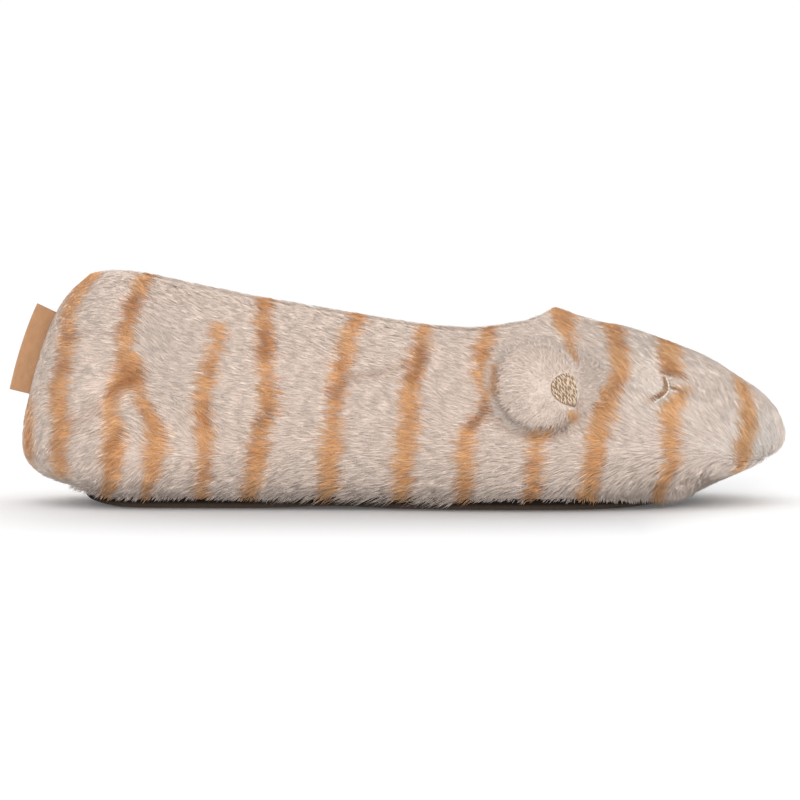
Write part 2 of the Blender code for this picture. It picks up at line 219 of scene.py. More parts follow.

# %% [markdown]
# ## The stripes
# The tan stripes are dyed into the pile, so each hair takes its colour from where it grows. They are
# charted in side elevation: each stripe is a short row of places (x, z) with its half width there. The
# medial side, which the picture hides, carries the same chart, drifting a little.

# %% Stripe chart
STRIPES = {
    "heel edge": ((-128.3, 35, 0.8), (-129, 28, 1.4), (-129, 18, 1.4), (-128, 12, 0.9)),
    "heel": (
        (-107, 78, 3), (-109, 75.4, 3), (-113, 68.6, 2.7), (-115.3, 62.9, 2.4), (-115.5, 56, 2.8),
        (-116.4, 48.7, 2.4), (-118.4, 40, 3.3), (-118.6, 31, 3.4), (-117.8, 25, 2.8), (-118.6, 15, 2.8),
        (-117.3, 9, 2),
    ),
    "fork trunk": (
        (-87.5, 79, 2.2), (-90.3, 72.5, 3.1), (-93.1, 68.6, 3.1), (-95.3, 60.5, 2.6), (-96.5, 53.3, 2.6),
        (-94.8, 48.7, 4.4), (-94.8, 44, 5), (-95.4, 39.5, 6),
    ),
    "fork back": (
        (-98, 41, 3.4), (-99.6, 37.4, 3.3), (-100.5, 31, 3.1), (-99.4, 23, 3.6), (-100.6, 15, 3.3),
        (-101.4, 5, 2.6), (-102, 1, 2.2),
    ),
    "fork front": (
        (-91, 41, 2.6), (-89.6, 35, 2.5), (-87.5, 29.4, 2.6), (-85, 23, 3.2), (-85.2, 17, 4.2),
        (-86.8, 11, 3.2), (-88.4, 4, 1.8),
    ),
    "short": (
        (-63.5, 60, 1.6), (-63.9, 55, 2.5), (-66.8, 46.5, 2.6), (-68.6, 38, 2.8), (-69, 30, 3.3),
        (-68.3, 21, 2.8), (-68.5, 13, 2.5), (-69.3, 5, 2.3), (-69.5, 0, 2.3),
    ),
    "waist back": (
        (-47.5, 72, 2.6), (-48, 60, 3), (-48.1, 47, 3), (-46.8, 35, 3), (-46.6, 31.4, 2.8),
        (-48.2, 28, 2.6), (-49.6, 21, 2.9), (-51.2, 10, 3.3), (-53.3, 0, 3),
    ),
    "waist": (
        (-14, 68, 2.9), (-15.6, 63.4, 2.9), (-19, 56, 3), (-21.6, 47, 3), (-23, 40, 3.3), (-24.6, 33, 3),
        (-25, 22, 3.6), (-25.8, 11, 3.4), (-26.7, 0, 3),
    ),
    "waist front": (
        (7, 66, 2.6), (6.4, 55, 2.6), (4.2, 47, 3), (1.2, 36, 3.4), (1.6, 28, 3.6), (0.8, 21, 3.6),
        (-0.8, 13, 3.1), (-1.5, 0, 2.9),
    ),
    "behind ear": (
        (29.4, 62, 2.3), (29, 58.5, 2.3), (27, 51.4, 3), (25.3, 44.5, 2.7), (25.8, 40, 1.3),
        (27.9, 35.4, 1.8), (27.4, 32, 1.6), (23.6, 27.4, 2.2), (21, 24, 2.5), (20.5, 17, 2.9),
        (20.5, 0, 2.9),
    ),
    "throat": (
        (53.5, 71, 4), (54.4, 63, 4.1), (55.2, 59.5, 3.4), (56.5, 56.5, 1.9), (57, 52, 1.4),
        (58.4, 48, 0.7),
    ),
    "ear root": ((48.5, 26.8, 6), (46.6, 24.6, 4.4), (45, 20, 2.8), (44.6, 12, 2.8), (43.6, 0, 2.9)),
    "vamp": (
        (71, 64, 3.8), (71.9, 60.7, 3.7), (74.2, 47, 3.2), (73.2, 43, 3.2), (70.9, 38.6, 3.3),
        (67.9, 30, 3.6), (65.7, 22.5, 3.5), (63.8, 10, 3.6), (62.4, 0, 4),
    ),
    "brow": ((91.5, 57, 3), (91.2, 52, 3.8), (90.8, 49.5, 4.2), (91.4, 46.2, 4), (92.8, 43.8, 3)),
    "cheek": (
        (95.6, 38, 2.6), (93.6, 34.6, 3.2), (90.8, 30.6, 3.4), (90.6, 23, 3), (91.4, 18, 2.6),
        (91.6, 13, 2.3), (88.6, 8, 2.3), (87, 2, 2),
    ),
    "snout": (
        (114.5, 41, 1.4), (116.4, 37.6, 2.8), (117.6, 32, 2.7), (117.8, 27, 2.5), (116.8, 21, 2.9),
        (116, 15.5, 2.7), (114.8, 11, 1.6),
    ),
}
STRIPE_EDGE = 1.2
STRIPE_RUNS_ON = 5
STRIPE_DRIFT, STRIPE_DRIFT_SIZE = 0.7, 5.0
MEDIAL_DRIFT, MEDIAL_DRIFT_SIZE, MEDIAL_FROM = 2.6, 30.0, 20


def elevation(points):
    """Where the camera, or its mirror image on the medial side, sees points on the middle plane."""
    flat = points * (1, 0, 1) - np.abs(points) * (0, 1, 0)
    reach = camera_spot[1] / (camera_spot[1] - flat[..., 1])
    seen = camera_spot + (flat - camera_spot) * reach[..., None]
    return seen[..., 0], seen[..., 2]


def stripe_dye(points):
    """How much of the tan dye points take, from 0 to 1. A stripe that ends low runs on under the hem."""
    x, z = elevation(points)
    x = x + STRIPE_DRIFT * drift(points, STRIPE_DRIFT_SIZE)
    medial = np.clip(points[..., 1] / MEDIAL_FROM, 0, 1)
    x = x + MEDIAL_DRIFT * medial * drift(points, MEDIAL_DRIFT_SIZE, 3.3)
    dye = np.zeros(x.shape)
    for places in STRIPES.values():
        middle, height, half = np.array(places[::-1]).T
        inside = np.interp(z, height, half) - np.abs(x - np.interp(z, height, middle))
        ends = height[-1] - z
        if height[0] > STRIPE_RUNS_ON:
            ends = np.minimum(ends, z - height[0])
        inside = np.minimum(inside, ends + STRIPE_EDGE)
        dye = np.maximum(dye, np.clip(0.5 + inside / (2 * STRIPE_EDGE), 0, 1))
    return dye * dye * (3 - 2 * dye)


print("stripes on each side:", len(STRIPES))

# %% [markdown]
# ## The partings
# Where the pile splits, its shaded roots show as dark strokes. The fork in the heel's second stripe, the
# bend behind the ear and the corners of the eye have the clearest ones, and the strokes under the ear
# are plain shade. Each is given as a stroke in side elevation. The pile's colour is darkened there as
# painted shade, and the wide ones are soft troughs in the skin too.

# %% Partings and soft troughs
Parting = namedtuple("Parting", "start end width depth")
PARTINGS = (
    Parting((-101, 37.5), (-91, 43.5), 2.3, 1.0),
    Parting((-100, 20), (-97.5, 24), 2.0, 0.7),
    Parting((-94, 66.5), (-90, 69.5), 1.8, 0.7),
    Parting((-114.5, 55.5), (-111, 57), 1.7, 0.8),
    Parting((-112.5, 25), (-107, 32), 2.6, 0.5),
    Parting((-67.5, 43), (-66, 47), 1.8, 0.6),
    Parting((-48, 50), (-47.5, 58), 2.2, 0.5),
    Parting((-50, 27), (-46.5, 30.5), 1.8, 0.9),
    Parting((-24.5, 37), (-20, 42), 2.0, 1.0),
    Parting((-19, 42.4), (-7, 44.2), 1.5, 0.8),
    Parting((-7, 44.2), (2, 47), 1.5, 0.8),
    Parting((2, 42.5), (6, 50), 2.2, 0.8),
    Parting((22.5, 26), (29.5, 34), 2.2, 1.0),
    Parting((30, 30), (38, 26), 3.0, 0.8),
    Parting((41, 24.5), (54, 24), 1.8, 1.0),
    Parting((88.2, 45.2), (90.6, 43.9), 1.2, 2.0),
    Parting((90.6, 43.9), (96, 43.4), 1.0, 1.6),
    Parting((88.8, 42.4), (89.2, 39.6), 0.9, 2.0),
    Parting((91.6, 39.2), (94.4, 38.1), 0.8, 1.6),
    Parting((83.4, 34.9), (88.6, 36.9), 1.0, 2.2),
)
WIDE = 1.3
WIDE_PARTINGS = [parting for parting in PARTINGS if parting.width > WIDE]
# Painted shade on the ears: along the patch's upper edge and along the ear's root.
EAR_SHADE_STROKES = (Parting((49.4, 42.2), (54.6, 44.6), 1.2, 1.5), Parting((40, 23.6), (54, 23.4), 1.0, 0.8))
# Painted shade: how much red, green and blue the pile loses where it is parted.
PARTING_SHADE = np.array((0.16, 0.23, 0.29))


def stroke_distance(x, z, start, end):
    """Distance of points in side elevation from a straight stroke."""
    (x0, z0), (x1, z1) = start, end
    along = ((x - x0) * (x1 - x0) + (z - z0) * (z1 - z0)) / ((x1 - x0) ** 2 + (z1 - z0) ** 2)
    along = np.clip(along, 0, 1)
    return np.hypot(x - x0 - along * (x1 - x0), z - z0 - along * (z1 - z0))


def parted(points, partings=PARTINGS):
    """How deep the pile is parted at points, from 0 to 1 or more."""
    x, z = elevation(points)
    depth = np.zeros(x.shape)
    for parting in partings:
        away = stroke_distance(x, z, parting.start, parting.end)
        depth = np.maximum(depth, parting.depth * np.exp(-((away / parting.width) ** 2)))
    return depth


print("partings on each side:", len(PARTINGS))

# %% [markdown]
# ## The way the fur is combed
# The pile runs from toe to heel, rising a little on the flanks, falling over the hem and standing up
# on the snout. A short chart says how far the tips point up, in degrees, at places in side elevation,
# and the directions between them are blended by distance.

# %% Combing chart
COMBING = (
    (-118, 59, 8), (-118, 41, 14), (-118, 21, -12), (-112, 9, -25),
    (-100, 72, 16), (-96, 58, 16), (-97, 46, 4), (-97, 37, -30), (-101, 21, -30), (-101, 8, -48),
    (-84, 70, 30), (-82, 54, 34), (-80, 38, 22), (-86, 22, 34), (-86, 9, -42), (-86, 2, -45),
    (-70, 56, 18), (-70, 42, 8), (-66, 24, 38), (-70, 10, -18), (-70, 2, -38),
    (-48, 60, 12), (-48, 40, 12), (-48, 24, 12), (-50, 12, -15), (-50, 2, -40),
    (-24, 56, 14), (-24, 40, 10), (-24, 24, 5), (-24, 11, -14), (-24, 2, -36),
    (12, 58, 8), (12, 48, 24), (12, 36, 28), (12, 26, 18), (12, 16, 3), (12, 8, -16), (12, 2, -34),
    (36, 58, 6), (40, 18, 6), (40, 9, -14), (40, 2, -32),
    (62, 58, 30), (66, 48, 40), (68, 34, 42), (66, 24, 22), (66, 16, 0), (66, 8, -26), (64, 2, -42),
    (80, 50, 52), (80, 34, 50), (80, 22, 24), (80, 14, -8), (80, 7, -42), (78, 2, -56),
    (92, 42, 40), (92, 28, 36), (92, 17, -6), (92, 8, -56), (90, 2, -76),
    (101, 44, 60), (104, 32, 74), (102, 20, 10), (103, 10, -100),
    (116, 34, 82), (116, 22, 50), (122, 26, 80),
)
COMB_BLEND = 4
HEEL_DROOP, HEEL_DROOP_FROM, HEEL_DROOP_OVER = 0.5, -112, -14


def comb(points):
    """Direction in which the tips lie, before it is laid on the surface."""
    x, z = elevation(points)
    total = np.zeros((*x.shape, 2))
    for place_x, place_z, tips_up in COMBING:
        near = 1 / (COMB_BLEND + (x - place_x) ** 2 + (z - place_z) ** 2) ** 2
        angle = math.radians(tips_up)
        total += near[..., None] * (-math.cos(angle), math.sin(angle))
    lay = unit(total)
    droop = HEEL_DROOP * ramp(points[..., 0], HEEL_DROOP_FROM, HEEL_DROOP_OVER)
    return np.stack((lay[..., 0], np.zeros(x.shape), lay[..., 1] - droop), -1)


print("combed places:", len(COMBING))

# %% [markdown]
# ## Shader sums in plain Python
# A node tree is easier to read as sums. This small class holds a socket: adding or multiplying two of
# them makes the Math node for it, and the one method called node makes any other node. Noise and bump
# come so often that they have short forms.

# %% Shader helper


class Tint:
    """A socket of a shader tree that can be added, taken away and multiplied."""

    def __init__(self, tree, socket=None):
        self.tree = tree
        self.socket = socket

    def node(self, kind, settings=None, inputs=None, output=0):
        made = self.tree.nodes.new(kind)
        for key, value in (settings or {}).items():
            setattr(made, key, value)
        for key, value in (inputs or {}).items():
            if isinstance(value, Tint):
                self.tree.links.new(value.socket, made.inputs[key])
            else:
                made.inputs[key].default_value = value
        return Tint(self.tree, made.outputs[output])

    def noise(self, place, scale, detail, distortion=0.0):
        inputs = {"Vector": place, "Scale": scale, "Detail": detail, "Distortion": distortion}
        return self.node("ShaderNodeTexNoise", None, inputs)

    def bump(self, height, strength, distance):
        inputs = {"Height": height, "Strength": strength, "Distance": distance}
        return self.node("ShaderNodeBump", None, inputs)

    def wave(self, place, direction, scale, distortion):
        inputs = {"Vector": place, "Scale": scale, "Distortion": distortion}
        return self.node("ShaderNodeTexWave", {"bands_direction": direction}, inputs)

    def math(self, operation, first, second):
        return self.node("ShaderNodeMath", {"operation": operation}, {0: first, 1: second})

    def __add__(self, other):
        return self.math("ADD", self, other)

    def __radd__(self, other):
        return self.math("ADD", other, self)

    def __sub__(self, other):
        return self.math("SUBTRACT", self, other)

    def __rsub__(self, other):
        return self.math("SUBTRACT", other, self)

    def __mul__(self, other):
        return self.math("MULTIPLY", self, other)

    def __rmul__(self, other):
        return self.math("MULTIPLY", other, self)

    def mixed(self, first, second):
        """Colour between two, with this value as the share of the second."""
        settings = {"data_type": "RGBA"}
        return self.node("ShaderNodeMix", settings, {"Factor": self, 6: first, 7: second}, output=2)


def new_finish(name, fixed):
    """A material with its constant sockets set, and a Tint to build the rest with."""
    material = bpy.data.materials.new(name)
    material.use_nodes = True
    shader = material.node_tree.nodes["Principled BSDF"]
    for socket, value in fixed.items():
        shader.inputs[socket].default_value = value
    return material, shader, Tint(material.node_tree)


def feed(shader, tint, socket):
    tint.tree.links.new(tint.socket, shader.inputs[socket])


print("shader helper ready")

# %% [markdown]
# ## Finishes of the plush
# Real pile is matt, a little brighter where light grazes it. Each hair has its own colour, painted shade
# included, kept in a colour attribute named dye, so one material serves every hair. The skin under the
# hairs has the same attribute and a fine curl in its bump, which also serves as the fleece of the lining.

# %% Plush materials


def dyed_finish(name, fixed):
    """A finish that takes its colour, painted shade included, from the mesh's own dye."""
    material, shader, tint = new_finish(name, fixed)
    feed(shader, tint.node("ShaderNodeAttribute", {"attribute_name": "dye"}), "Base Color")
    return material, shader, tint


fur_finish, _, _ = dyed_finish("plush_fur", {"Roughness": 0.75, "Sheen Weight": 0.15, "IOR": 1.3})
skin_finish, shader, tint = dyed_finish("plush_skin", {"Roughness": 0.95, "Sheen Weight": 0.2})
place = tint.node("ShaderNodeTexCoord", output="Object")
curls = tint.noise(place, 700, 4, 1.5)
tufts = tint.noise(place, 160, 2)
feed(shader, tint.bump(curls + tufts * 0.8, 0.9, 0.0012), "Normal")
print("finishes:", fur_finish.name, skin_finish.name)

# %% [markdown]
# ## Shades of a hair
# Cream and tan are given as linear colours. Roots are darker than tips because little light reaches
# them, and each hair and each lock differs a little from the next, or the fur would look like plastic.
# A few places are made greyer or dimmer than the rest as painted shade. Each is charted as a place in
# side elevation, how far it reaches and how much less red, green and blue it has. Near the hem the pile
# is darkened as painted shade too.

# %% Colours of the pile
CREAM = np.array((0.95, 0.80, 0.70))
TAN = np.array((0.93, 0.53, 0.25))
DEEP_TAN = np.array((0.70, 0.33, 0.13))
LINING = np.array((0.76, 0.63, 0.55))
# Painted shade: SKIN_SHADE keeps the skin darker than the pile, as the gaps between hairs are shaded.
SKIN_SHADE, DYE_SPREAD = 0.79, 0.45
# Painted shade at a few places: where, how far, and how much less red, green and blue.
SHADE_SPOTS = (
    ((121, 22), 11, (0.15, 0.07, 0.01)),
    ((104, 15), 9, (0.05, 0.04, 0.03)),
    ((84, 40), 30, (0.05, 0.02, 0.0)),
    ((-82, 50), 14, (0.08, 0.07, 0.06)),
)
DEEP_LEAST, DEEP_PATCHES, DEEP_SPECKS, DEEP_SHADE_PARTED = 0.22, 0.75, 0.4, 0.6
PATCHY_TONE, HAIR_TONE = 0.025, 0.02
HEM_SHADE, HEM_SHADE_FROM, HEM_SHADE_DEPTH = 0.35, 9.5, 4.5
HEM_SHADE_END, HEM_SHADE_FADE, HEM_SHADE_LEFT = 93, 12, 0.1


def pile_colour(points, chance):
    """Colour of the pile at points: cream, tan in the stripes, deeper in painted shade where it is parted."""
    dye = stripe_dye(points + DYE_SPREAD * chance.standard_normal(points.shape))[..., None]
    deep = DEEP_PATCHES * drift(points, 6.0, 9.1)
    deep = np.clip(DEEP_LEAST + deep + DEEP_SPECKS * drift(points, 2.2, 5.7), 0, 1)
    deep = np.clip(deep + DEEP_SHADE_PARTED * parted(points), 0, 1)[..., None]
    colour = CREAM + dye * (TAN + deep * (DEEP_TAN - TAN) - CREAM)
    tone = 1 + PATCHY_TONE * drift(points, 12.0, 2.2) + HAIR_TONE * chance.standard_normal(dye.shape[:-1])
    x, z = elevation(points)
    # Painted shade: the pile is dimmed round each charted spot.
    for (place_x, place_z), reach, less in SHADE_SPOTS:
        near = np.exp(-(((x - place_x) ** 2 + (z - place_z) ** 2) / reach**2))[..., None]
        colour = colour * (1 - near * less)
    return colour * tone[..., None]


def in_shade(colour, points, partings=PARTINGS):
    """Painted shade: the pile darker where it is parted and low down, where little light comes in."""
    above = points[..., 2] - tread_z(points[..., 0])
    low = np.clip((HEM_SHADE_FROM - above) / HEM_SHADE_DEPTH, 0, 1) ** 1.5
    low = low * np.clip((HEM_SHADE_END - points[..., 0]) / HEM_SHADE_FADE, HEM_SHADE_LEFT, 1)
    dim = (1 - HEM_SHADE * low)[..., None] * (1 - PARTING_SHADE * parted(points, partings)[..., None])
    return np.clip(colour * dim, 0.01, 0.97)


def set_dye(mesh, colours):
    layer = mesh.color_attributes.new("dye", "FLOAT_COLOR", "POINT")
    rgba = np.concatenate((colours, np.ones((len(colours), 1))), axis=1)
    layer.data.foreach_set("color", rgba.astype(np.float32).ravel())


print("cream", CREAM, "tan", TAN)

# %% [markdown]
# ## The upper's skin
# The upper is a hollow wall, closed like a tyre: up the outside, over the collar and down the lining.
# A torus has exactly that form, so one is added and its rings are laid on the last: the big ring goes
# round the shoe and the small ring round the wall. The wide partings are pressed into it as soft
# troughs, and two shallow dips give the throat and the bridge of the nose their lines.

# %% Where the skin and the pile lie
SNOUT_X, SNOUT_Z, COLLAR_ROWS, COLLAR_SLEEK = (62, 22), (16, 14), (2.7, 0.8), 0.7
SKIN_LIFT, SLEEK_LIFT, TROUGH = 1.15, 0.4, 1.2
THROAT_DIP, THROAT_DIP_AT, THROAT_DIP_REACH, THROAT_DIP_ROW = 1.7, 65.0, 9.0, 2.6
NOSE_DIP, NOSE_DIP_AT, NOSE_DIP_REACH = 1.2, (114.5, 43.0), 8.0


def sleek(points, level):
    """Where the pile lies close and even, from 0 to 1: on the snout, the vamp and along the collar."""
    x, z = elevation(points)
    snout = ramp(x, *SNOUT_X) * ramp(z, *SNOUT_Z)
    return np.maximum(snout, COLLAR_SLEEK * ramp(level, *COLLAR_ROWS))


def skin_lift(points, level):
    """How far the skin stands off the last: full half-way up, nothing at the hem and the collar."""
    full = SKIN_LIFT + SLEEK_LIFT * sleek(points, level)
    return full * np.sin(math.pi * np.clip(level / TOP_ROW, 0, 1)) ** 0.5


def pile_dip(points, level):
    """How far the pile sinks: in a parting, in front of the throat and on the bridge of the nose."""
    x, z = elevation(points)
    nose = np.hypot(x - NOSE_DIP_AT[0], z - NOSE_DIP_AT[1]) / NOSE_DIP_REACH
    nose = NOSE_DIP * np.exp(-(nose**2))
    throat = THROAT_DIP * np.exp(-(((points[..., 0] - THROAT_DIP_AT) / THROAT_DIP_REACH) ** 2))
    trough = TROUGH * np.minimum(parted(points, WIDE_PARTINGS), 1)
    return trough + nose + throat * ramp(level, THROAT_DIP_ROW, 1)


def lay_on_last(points):
    """Millimetres of the last turned into metres of the frame."""
    return ((points + LAST_TO_FRAME) * MM).astype(np.float32)


def added(name, finish):
    """Names the object that an operator has just added and gives it its finish."""
    piece = bpy.context.object
    piece.name = name
    piece.data.name = name
    piece.data.materials.append(finish)
    if piece.data.uv_layers:
        piece.data.uv_layers[0].name = "OFBake"
    bpy.ops.object.shade_smooth()
    return piece


def face_outwards():
    """Turns the faces of the active mesh outwards."""
    bpy.ops.object.mode_set(mode="EDIT")
    bpy.ops.mesh.select_all(action="SELECT")
    bpy.ops.mesh.normals_make_consistent(inside=False)
    bpy.ops.object.mode_set(mode="OBJECT")


print("the skin stands up to", SKIN_LIFT + SLEEK_LIFT, "mm off the last")

# %% Skin of the upper
SKIN_ROUND, SKIN_OUTSIDE, SKIN_ROLL, SKIN_INSIDE = 252, 40, 8, 32
skin_rows = SKIN_OUTSIDE + SKIN_ROLL + SKIN_INSIDE
bpy.ops.mesh.primitive_torus_add(major_segments=SKIN_ROUND, minor_segments=skin_rows)
upper_skin = added("upper_skin", skin_finish)
around = np.arange(SKIN_ROUND) * STATIONS / SKIN_ROUND
rings = []
for ring in range(skin_rows):
    if ring < SKIN_OUTSIDE:
        level = np.full(SKIN_ROUND, TOP_ROW * ring / SKIN_OUTSIDE)
        face = outer(around, level)
        lift = skin_lift(face, level) - pile_dip(face, level)
        rings.append((face + lift[:, None] * outward(around, level), True))
    elif ring < SKIN_OUTSIDE + SKIN_ROLL:
        rings.append((collar_roll(around, np.full(SKIN_ROUND, (ring - SKIN_OUTSIDE) / SKIN_ROLL)), True))
    else:
        inside = TOP_ROW * (1 - (ring - SKIN_OUTSIDE - SKIN_ROLL) / (SKIN_INSIDE - 1))
        rings.append((inner(around, np.full(SKIN_ROUND, inside)), False))
skin_points = np.stack([face for face, furred in rings], axis=1).reshape(-1, 3)
furred = np.tile([furred for face, furred in rings], SKIN_ROUND)
upper_skin.data.vertices.foreach_set("co", lay_on_last(skin_points).ravel())
chance = np.random.default_rng(11)
pile = in_shade(SKIN_SHADE * pile_colour(skin_points, chance), skin_points)
skin_colour = np.where(furred[:, None], pile, LINING)
set_dye(upper_skin.data, skin_colour)
upper_skin.data.update()
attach(upper_skin, "root")
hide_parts("upper")
print("upper skin:", len(upper_skin.data.polygons), "faces")

# %% [markdown]
# ## Ears
# Each ear is a small stuffed cushion sewn on at the side of the throat. A sphere has the right skin for
# it: its upper half becomes the dome, a belt below it becomes a skirt of pile and the rest is flattened
# onto the upper as the seat. The skirt runs out far at the top and towards the toe, so that the ear
# grows softly out of the upper, and hardly at the lower back, where the cushion throws its shadow.

# %% The ear's mound
SEAM_GAP = 0.3
EAR_ROW, EAR_LENGTH, EAR_HEIGHT, EAR_THICK, EAR_BELLY = 2.0, 25.0, 23.5, 11.0, 0.42
EARS = {"lateral": (4.64, 1), "medial": (STATIONS - 4.64, -1)}
SEAT_TURN = math.radians(35)
SKIRT_LEAST, SKIRT_MOST, SKIRT_TOWARD, SKIRT_LOW = 0.08, 0.95, math.radians(60), 1.0
SKIRT_MEAN, SKIRT_SWING = 0.55, 0.6


def ear_spot(side, along, height, lift):
    """A place over the upper: along to the toe, height up it, lift off it."""
    seat, toward_toe = EARS[side]
    across, up = slopes(outer, seat, EAR_ROW)
    run = np.linalg.norm(across)
    lean = up @ across / run
    rise = np.linalg.norm(up - lean * across / run)
    station = seat + (toward_toe * along - height * lean / rise) / run
    row = EAR_ROW + height / rise
    return outer(station, row) + (SEAM_GAP + np.asarray(lift)[..., None]) * outward(station, row)


def ear_flare(angle):
    """How far the skirt runs out beyond the rim, as a share of the ear's half size."""
    share = np.clip(SKIRT_MEAN + SKIRT_SWING * np.cos(angle - SKIRT_TOWARD), 0, 1)
    return SKIRT_LEAST + (SKIRT_MOST - SKIRT_LEAST) * share**2


def ear_dome(reach):
    """Height of the dome at a reach that runs from 0 at the crown to 1 at the rim."""
    belly = EAR_BELLY * EAR_THICK
    return belly + (EAR_THICK - belly) * np.sqrt(np.clip(1 - reach**2, 0, 1))


def ear_mound(side, along, height):
    """The ear's dome and, beyond its rim, its skirt."""
    across, up = 2 * along / EAR_LENGTH, 2 * height / EAR_HEIGHT
    reach = np.hypot(across, up)
    skirt = np.clip((reach - 1) / ear_flare(np.arctan2(up, across)), 0, 1)
    slope = SKIRT_LOW + (EAR_BELLY * EAR_THICK - SKIRT_LOW) * (1 - skirt) ** 2
    return ear_spot(side, along, height, np.where(reach < 1, ear_dome(reach), slope))


def ear_place(angle, turn):
    """Along and height at an angle round the ear and a turn from the skirt's edge up to the crown."""
    skirt = np.clip(-turn / SEAT_TURN, 0, 1)
    reach = np.where(turn > 0, np.cos(turn), 1 + skirt * ear_flare(angle))
    return reach * np.cos(angle) * EAR_LENGTH / 2, reach * np.sin(angle) * EAR_HEIGHT / 2


def ear_point(side, angle, turn):
    """Point of the ear's skin: dome and skirt, then the flat seat under them."""
    along, height = ear_place(angle, turn)
    inward = ramp(-turn, SEAT_TURN, math.pi / 2 - SEAT_TURN)
    seat = ear_spot(side, along * (1 - inward), height * (1 - inward), 0 * turn)
    return np.where((inward > 0)[..., None], seat, ear_mound(side, along, height))


print("the skirt runs out by", round(SKIRT_MOST * EAR_LENGTH / 2, 1), "mm at the top")

# %% Skin of the ears
EAR_SEGMENTS, EAR_RINGS = 40, 24


def make_ear_skin(side):
    bpy.ops.mesh.primitive_uv_sphere_add(segments=EAR_SEGMENTS, ring_count=EAR_RINGS, radius=1)
    ear = added("ear_skin_" + side, skin_finish)
    ball = np.array([vertex.co for vertex in ear.data.vertices])
    turn = np.arcsin(np.clip(ball[:, 2], -1, 1))
    points = ear_point(side, np.arctan2(ball[:, 1], ball[:, 0]), turn)
    ear.data.vertices.foreach_set("co", lay_on_last(points).ravel())
    face_outwards()
    dye = np.where(turn < 0, stripe_dye(points), 0)[:, None]
    set_dye(ear.data, SKIN_SHADE * (CREAM + dye * (TAN - CREAM)))
    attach(ear, "root")
    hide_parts("ear_" + side)
    return ear


for side in EARS:
    print(make_ear_skin(side).name, "over", "ear_" + side)

# %% [markdown]
# ## Hairs and threads as spindles
# A hair, a stitch and a length of thread are all thin bodies that start and end in a point. One helper
# builds thousands of them at once as closed tubes with pointed ends. Each has its own small cell in the
# map, so a baked picture keeps every hair's own shade.

# %% Spindles from arrays
CELL_LEFT, CELL_RIGHT, CELL_FOOT, CELL_TALL = 0.1, 0.9, 0.06, 0.88


def ring_frames(paths, roll):
    """Two directions across each path at its inner points."""
    ahead = unit(paths[:, 2:] - paths[:, :-2])
    other = np.where(np.abs(ahead[..., 1:2]) < 0.8, (0.0, 1.0, 0.0), (1.0, 0.0, 0.0))
    first = unit(np.cross(ahead, other))
    second = np.cross(ahead, first)
    roll = roll[:, None, None]
    return np.cos(roll) * first + np.sin(roll) * second, np.cos(roll) * second - np.sin(roll) * first


def spindle_faces(count, rings, sides):
    """Corner numbers and map places of one spindle's faces, repeated for each spindle."""
    corners, spots, sizes = [], [], []
    tip = 1 + rings * sides
    height = [CELL_FOOT + CELL_TALL * (ring + 1) / (rings + 1) for ring in range(rings)]
    left_side, right_side = ([(across, up) for up in height] for across in (CELL_LEFT, CELL_RIGHT))
    for side in range(sides):
        left, right = 1 + side, 1 + (side + 1) % sides
        corners += [0, right, left]
        spots += [(0.5, CELL_FOOT), right_side[0], left_side[0]]
        sizes.append(3)
        for ring in range(rings - 1):
            low, high = ring * sides, (ring + 1) * sides
            corners += [left + low, right + low, right + high, left + high]
            spots += [left_side[ring], right_side[ring], right_side[ring + 1], left_side[ring + 1]]
            sizes.append(4)
        last = (rings - 1) * sides
        corners += [tip, left + last, right + last]
        spots += [(0.5, CELL_FOOT + CELL_TALL), left_side[-1], right_side[-1]]
        sizes.append(3)
    each = 2 + rings * sides
    index = (np.arange(count)[:, None] * each + np.array(corners)).ravel()
    return index, np.array(spots), np.tile(sizes, count)


def spindles(name, paths, radii, colours, finish, roll, sides=3):
    """A mesh of closed spindles. paths is (count, points, 3), with radii and colours at those points."""
    count, points = paths.shape[:2]
    rings = points - 2
    first, second = ring_frames(paths, roll)
    turn = 2 * math.pi * np.arange(sides) / sides
    circle = np.cos(turn)[:, None] * first[:, :, None] + np.sin(turn)[:, None] * second[:, :, None]
    ring_points = paths[:, 1:-1, None] + radii[:, 1:-1, None, None] * circle
    middle = ring_points.reshape(count, rings * sides, 3)
    corners = np.concatenate((paths[:, :1], middle, paths[:, -1:]), axis=1).reshape(-1, 3)
    shade = np.repeat(colours[:, 1:-1], sides, axis=1)
    shade = np.concatenate((colours[:, :1], shade, colours[:, -1:]), axis=1).reshape(-1, 3)
    index, spots, sizes = spindle_faces(count, rings, sides)

    mesh = bpy.data.meshes.new(name)
    mesh.vertices.add(len(corners))
    mesh.vertices.foreach_set("co", lay_on_last(corners).ravel())
    mesh.loops.add(len(index))
    mesh.loops.foreach_set("vertex_index", index.astype(np.int32))
    mesh.polygons.add(len(sizes))
    mesh.polygons.foreach_set("loop_start", (np.cumsum(sizes) - sizes).astype(np.int32))
    mesh.polygons.foreach_set("use_smooth", np.ones(len(sizes), bool))
    cells = math.ceil(math.sqrt(count))
    cell = np.stack((np.arange(count) % cells, np.arange(count) // cells), -1)
    places = (cell[:, None] + spots[None]) / cells
    mesh.uv_layers.new(name="OFBake").uv.foreach_set("vector", places.astype(np.float32).ravel())
    set_dye(mesh, shade)
    mesh.materials.append(finish)
    mesh.update(calc_edges=True)
    mesh.validate()
    piece = bpy.data.objects.new(name, mesh)
    bpy.context.scene.collection.objects.link(piece)
    return piece


print("spindle helper ready")

# %% [markdown]
# ## The sleeping eyes
# The eyes are closed: a single gold line sewn as an arc on each side of the snout, with three short
# lashes. The arc is charted in side elevation, and each of its points is found on the last by looking
# for the place that the camera sees there. The thread is made of short stitches laid end to end. Short
# brown hairs behind the arc and along the brow are painted shade: they stand for the shade in the
# pressed pile.

